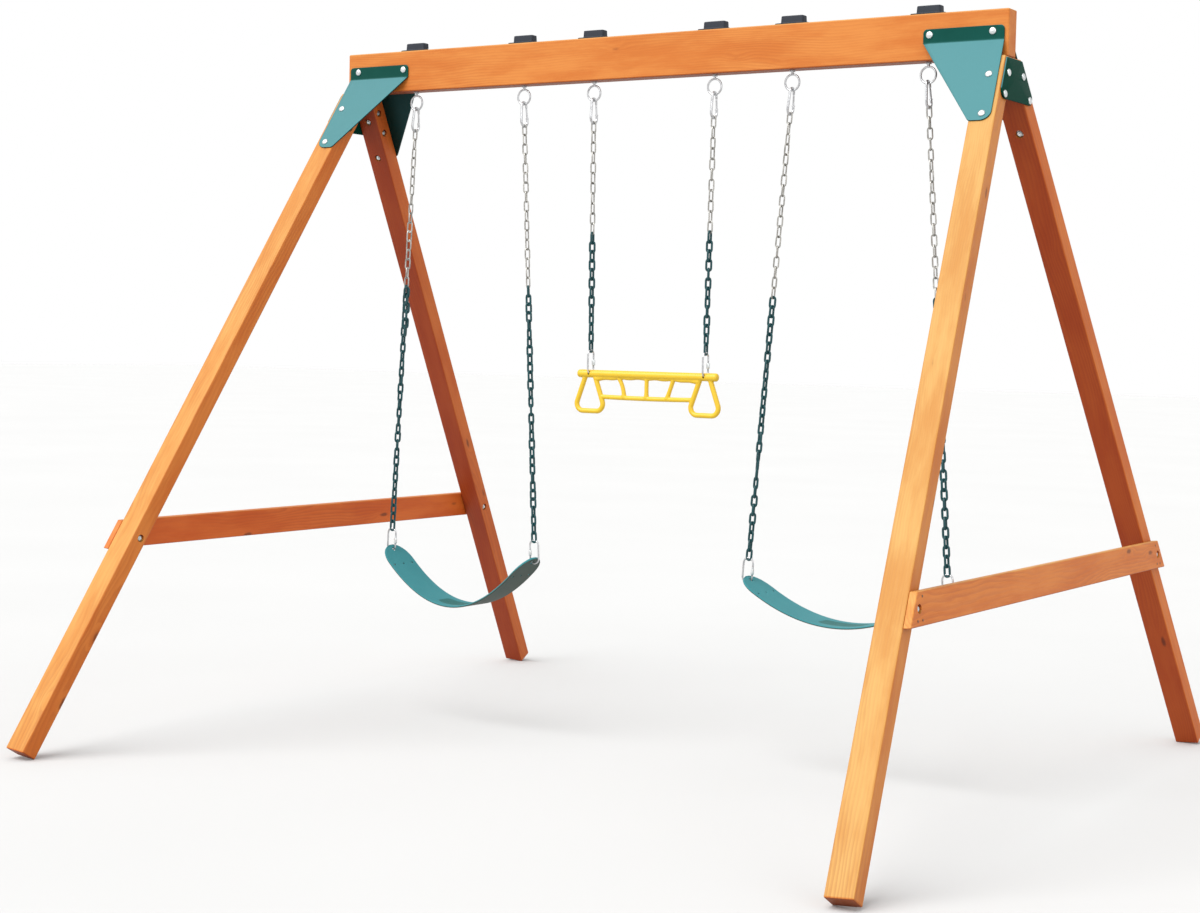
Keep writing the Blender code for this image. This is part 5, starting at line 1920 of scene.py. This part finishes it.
@dataclass
class Studio:
    """The floor, the light and the camera."""

    beam_top: float
    camera_place: tuple[float, float] = (3.6016, -5.8336)
    camera_drop: float = 0.9967
    yaw: float = 0.5731
    pitch: float = -0.0547
    roll: float = -0.0218
    lens: float = 62.84

    def build(self) -> None:
        """Makes the studio."""
        self._camera()
        self._floor()
        self._world()
        self._light("key", (-0.25, -0.62, 0.74), 58.0, 3.5)
        self._light("right_fill", (0.90, -0.35, 0.25), 50.0, 0.8)
        self._view()

    def _camera(self) -> None:
        """The camera, turned by yaw, pitch and roll from looking along +Y."""
        data = bpy.data.cameras.new("camera")
        data.lens = self.lens
        data.sensor_width = 36.0
        data.clip_end = 200.0
        camera = bpy.data.objects.new("camera", data)
        turn = (Matrix.Rotation(self.yaw, 4, "Z") @ Matrix.Rotation(self.pitch, 4, "X")
                @ Matrix.Rotation(self.roll, 4, "Y"))
        place = Matrix.Translation((*self.camera_place, self.beam_top - self.camera_drop))
        camera.matrix_world = place @ turn @ Matrix.Rotation(math.pi / 2, 4, "X")
        bpy.context.scene.collection.objects.link(camera)
        bpy.context.scene.camera = camera

    @staticmethod
    def _floor() -> None:
        """A wide pale floor with a faint, slow unevenness in its shade."""
        reach = 60.0
        sides = np.array([-reach, reach])
        x, y = np.meshgrid(sides, sides)
        grid = np.stack([x, y, np.zeros_like(x)], axis=-1)
        shell = Shell.from_grid(grid - (0, 0, 0.0005), wrap_columns=False)
        floor = link_piece("floor", to_mesh("floor", shell))
        g = Graph("pale_floor")
        shade = g.mix(g.noise(g.place(), 0.6, 2.0), (0.49, 0.49, 0.486), (0.52, 0.52, 0.516))
        floor.data.materials.append(g.finish(Base_Color=shade, Roughness=0.9))

    @staticmethod
    def _world() -> None:
        """Even white light from all round."""
        world = bpy.data.worlds.new("studio")
        bpy.context.scene.world = world
        world.use_nodes = True
        backdrop = world.node_tree.nodes["Background"]
        backdrop.inputs["Color"].default_value = (1.0, 1.0, 1.0, 1.0)
        backdrop.inputs["Strength"].default_value = 1.0

    @staticmethod
    def _light(name: str, direction: Sequence[float], spread: float, strength: float) -> None:
        """An even soft light from a direction, as wide in the sky as its spread in degrees.

        Args:
            name: the light's name.
            direction: where it comes from.
            spread: its width in the sky, in degrees.
            strength: its strength.
        """
        data = bpy.data.lights.new(name, "SUN")
        data.angle = math.radians(spread)
        data.energy = strength
        light = bpy.data.objects.new(name, data)
        light.matrix_world = stand(direction, direction)
        bpy.context.scene.collection.objects.link(light)

    @staticmethod
    def _view() -> None:
        """Shows the colours as they are, with no film curve."""
        bpy.context.scene.view_settings.view_transform = "Standard"


def main() -> None:
    """Builds the studio, then each sub-assembly in order."""
    logging.basicConfig(level=logging.INFO, format="%(name)s: %(message)s")
    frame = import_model()
    beam_low, beam_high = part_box("beam")
    Studio(float(beam_high.z)).build()
    finishes = Finishes()
    TimberFrame().build()
    CornerSteel(finishes, float(beam_low.z) + BEND_RISE, float(beam_high.x)).build()
    for number in range(1, RING_BOLTS + 1):
        Hanger(finishes, number, float(beam_low.z), float(beam_high.z)).build()
    Swing(finishes, "left_swing", 0.596, 0.612).build(frame["joints"])
    Swing(finishes, "trapeze", None, 0.430).build(frame["joints"])
    Swing(finishes, "right_swing", 0.660, 0.673).build(frame["joints"])


if __name__ == "__main__":
    main()
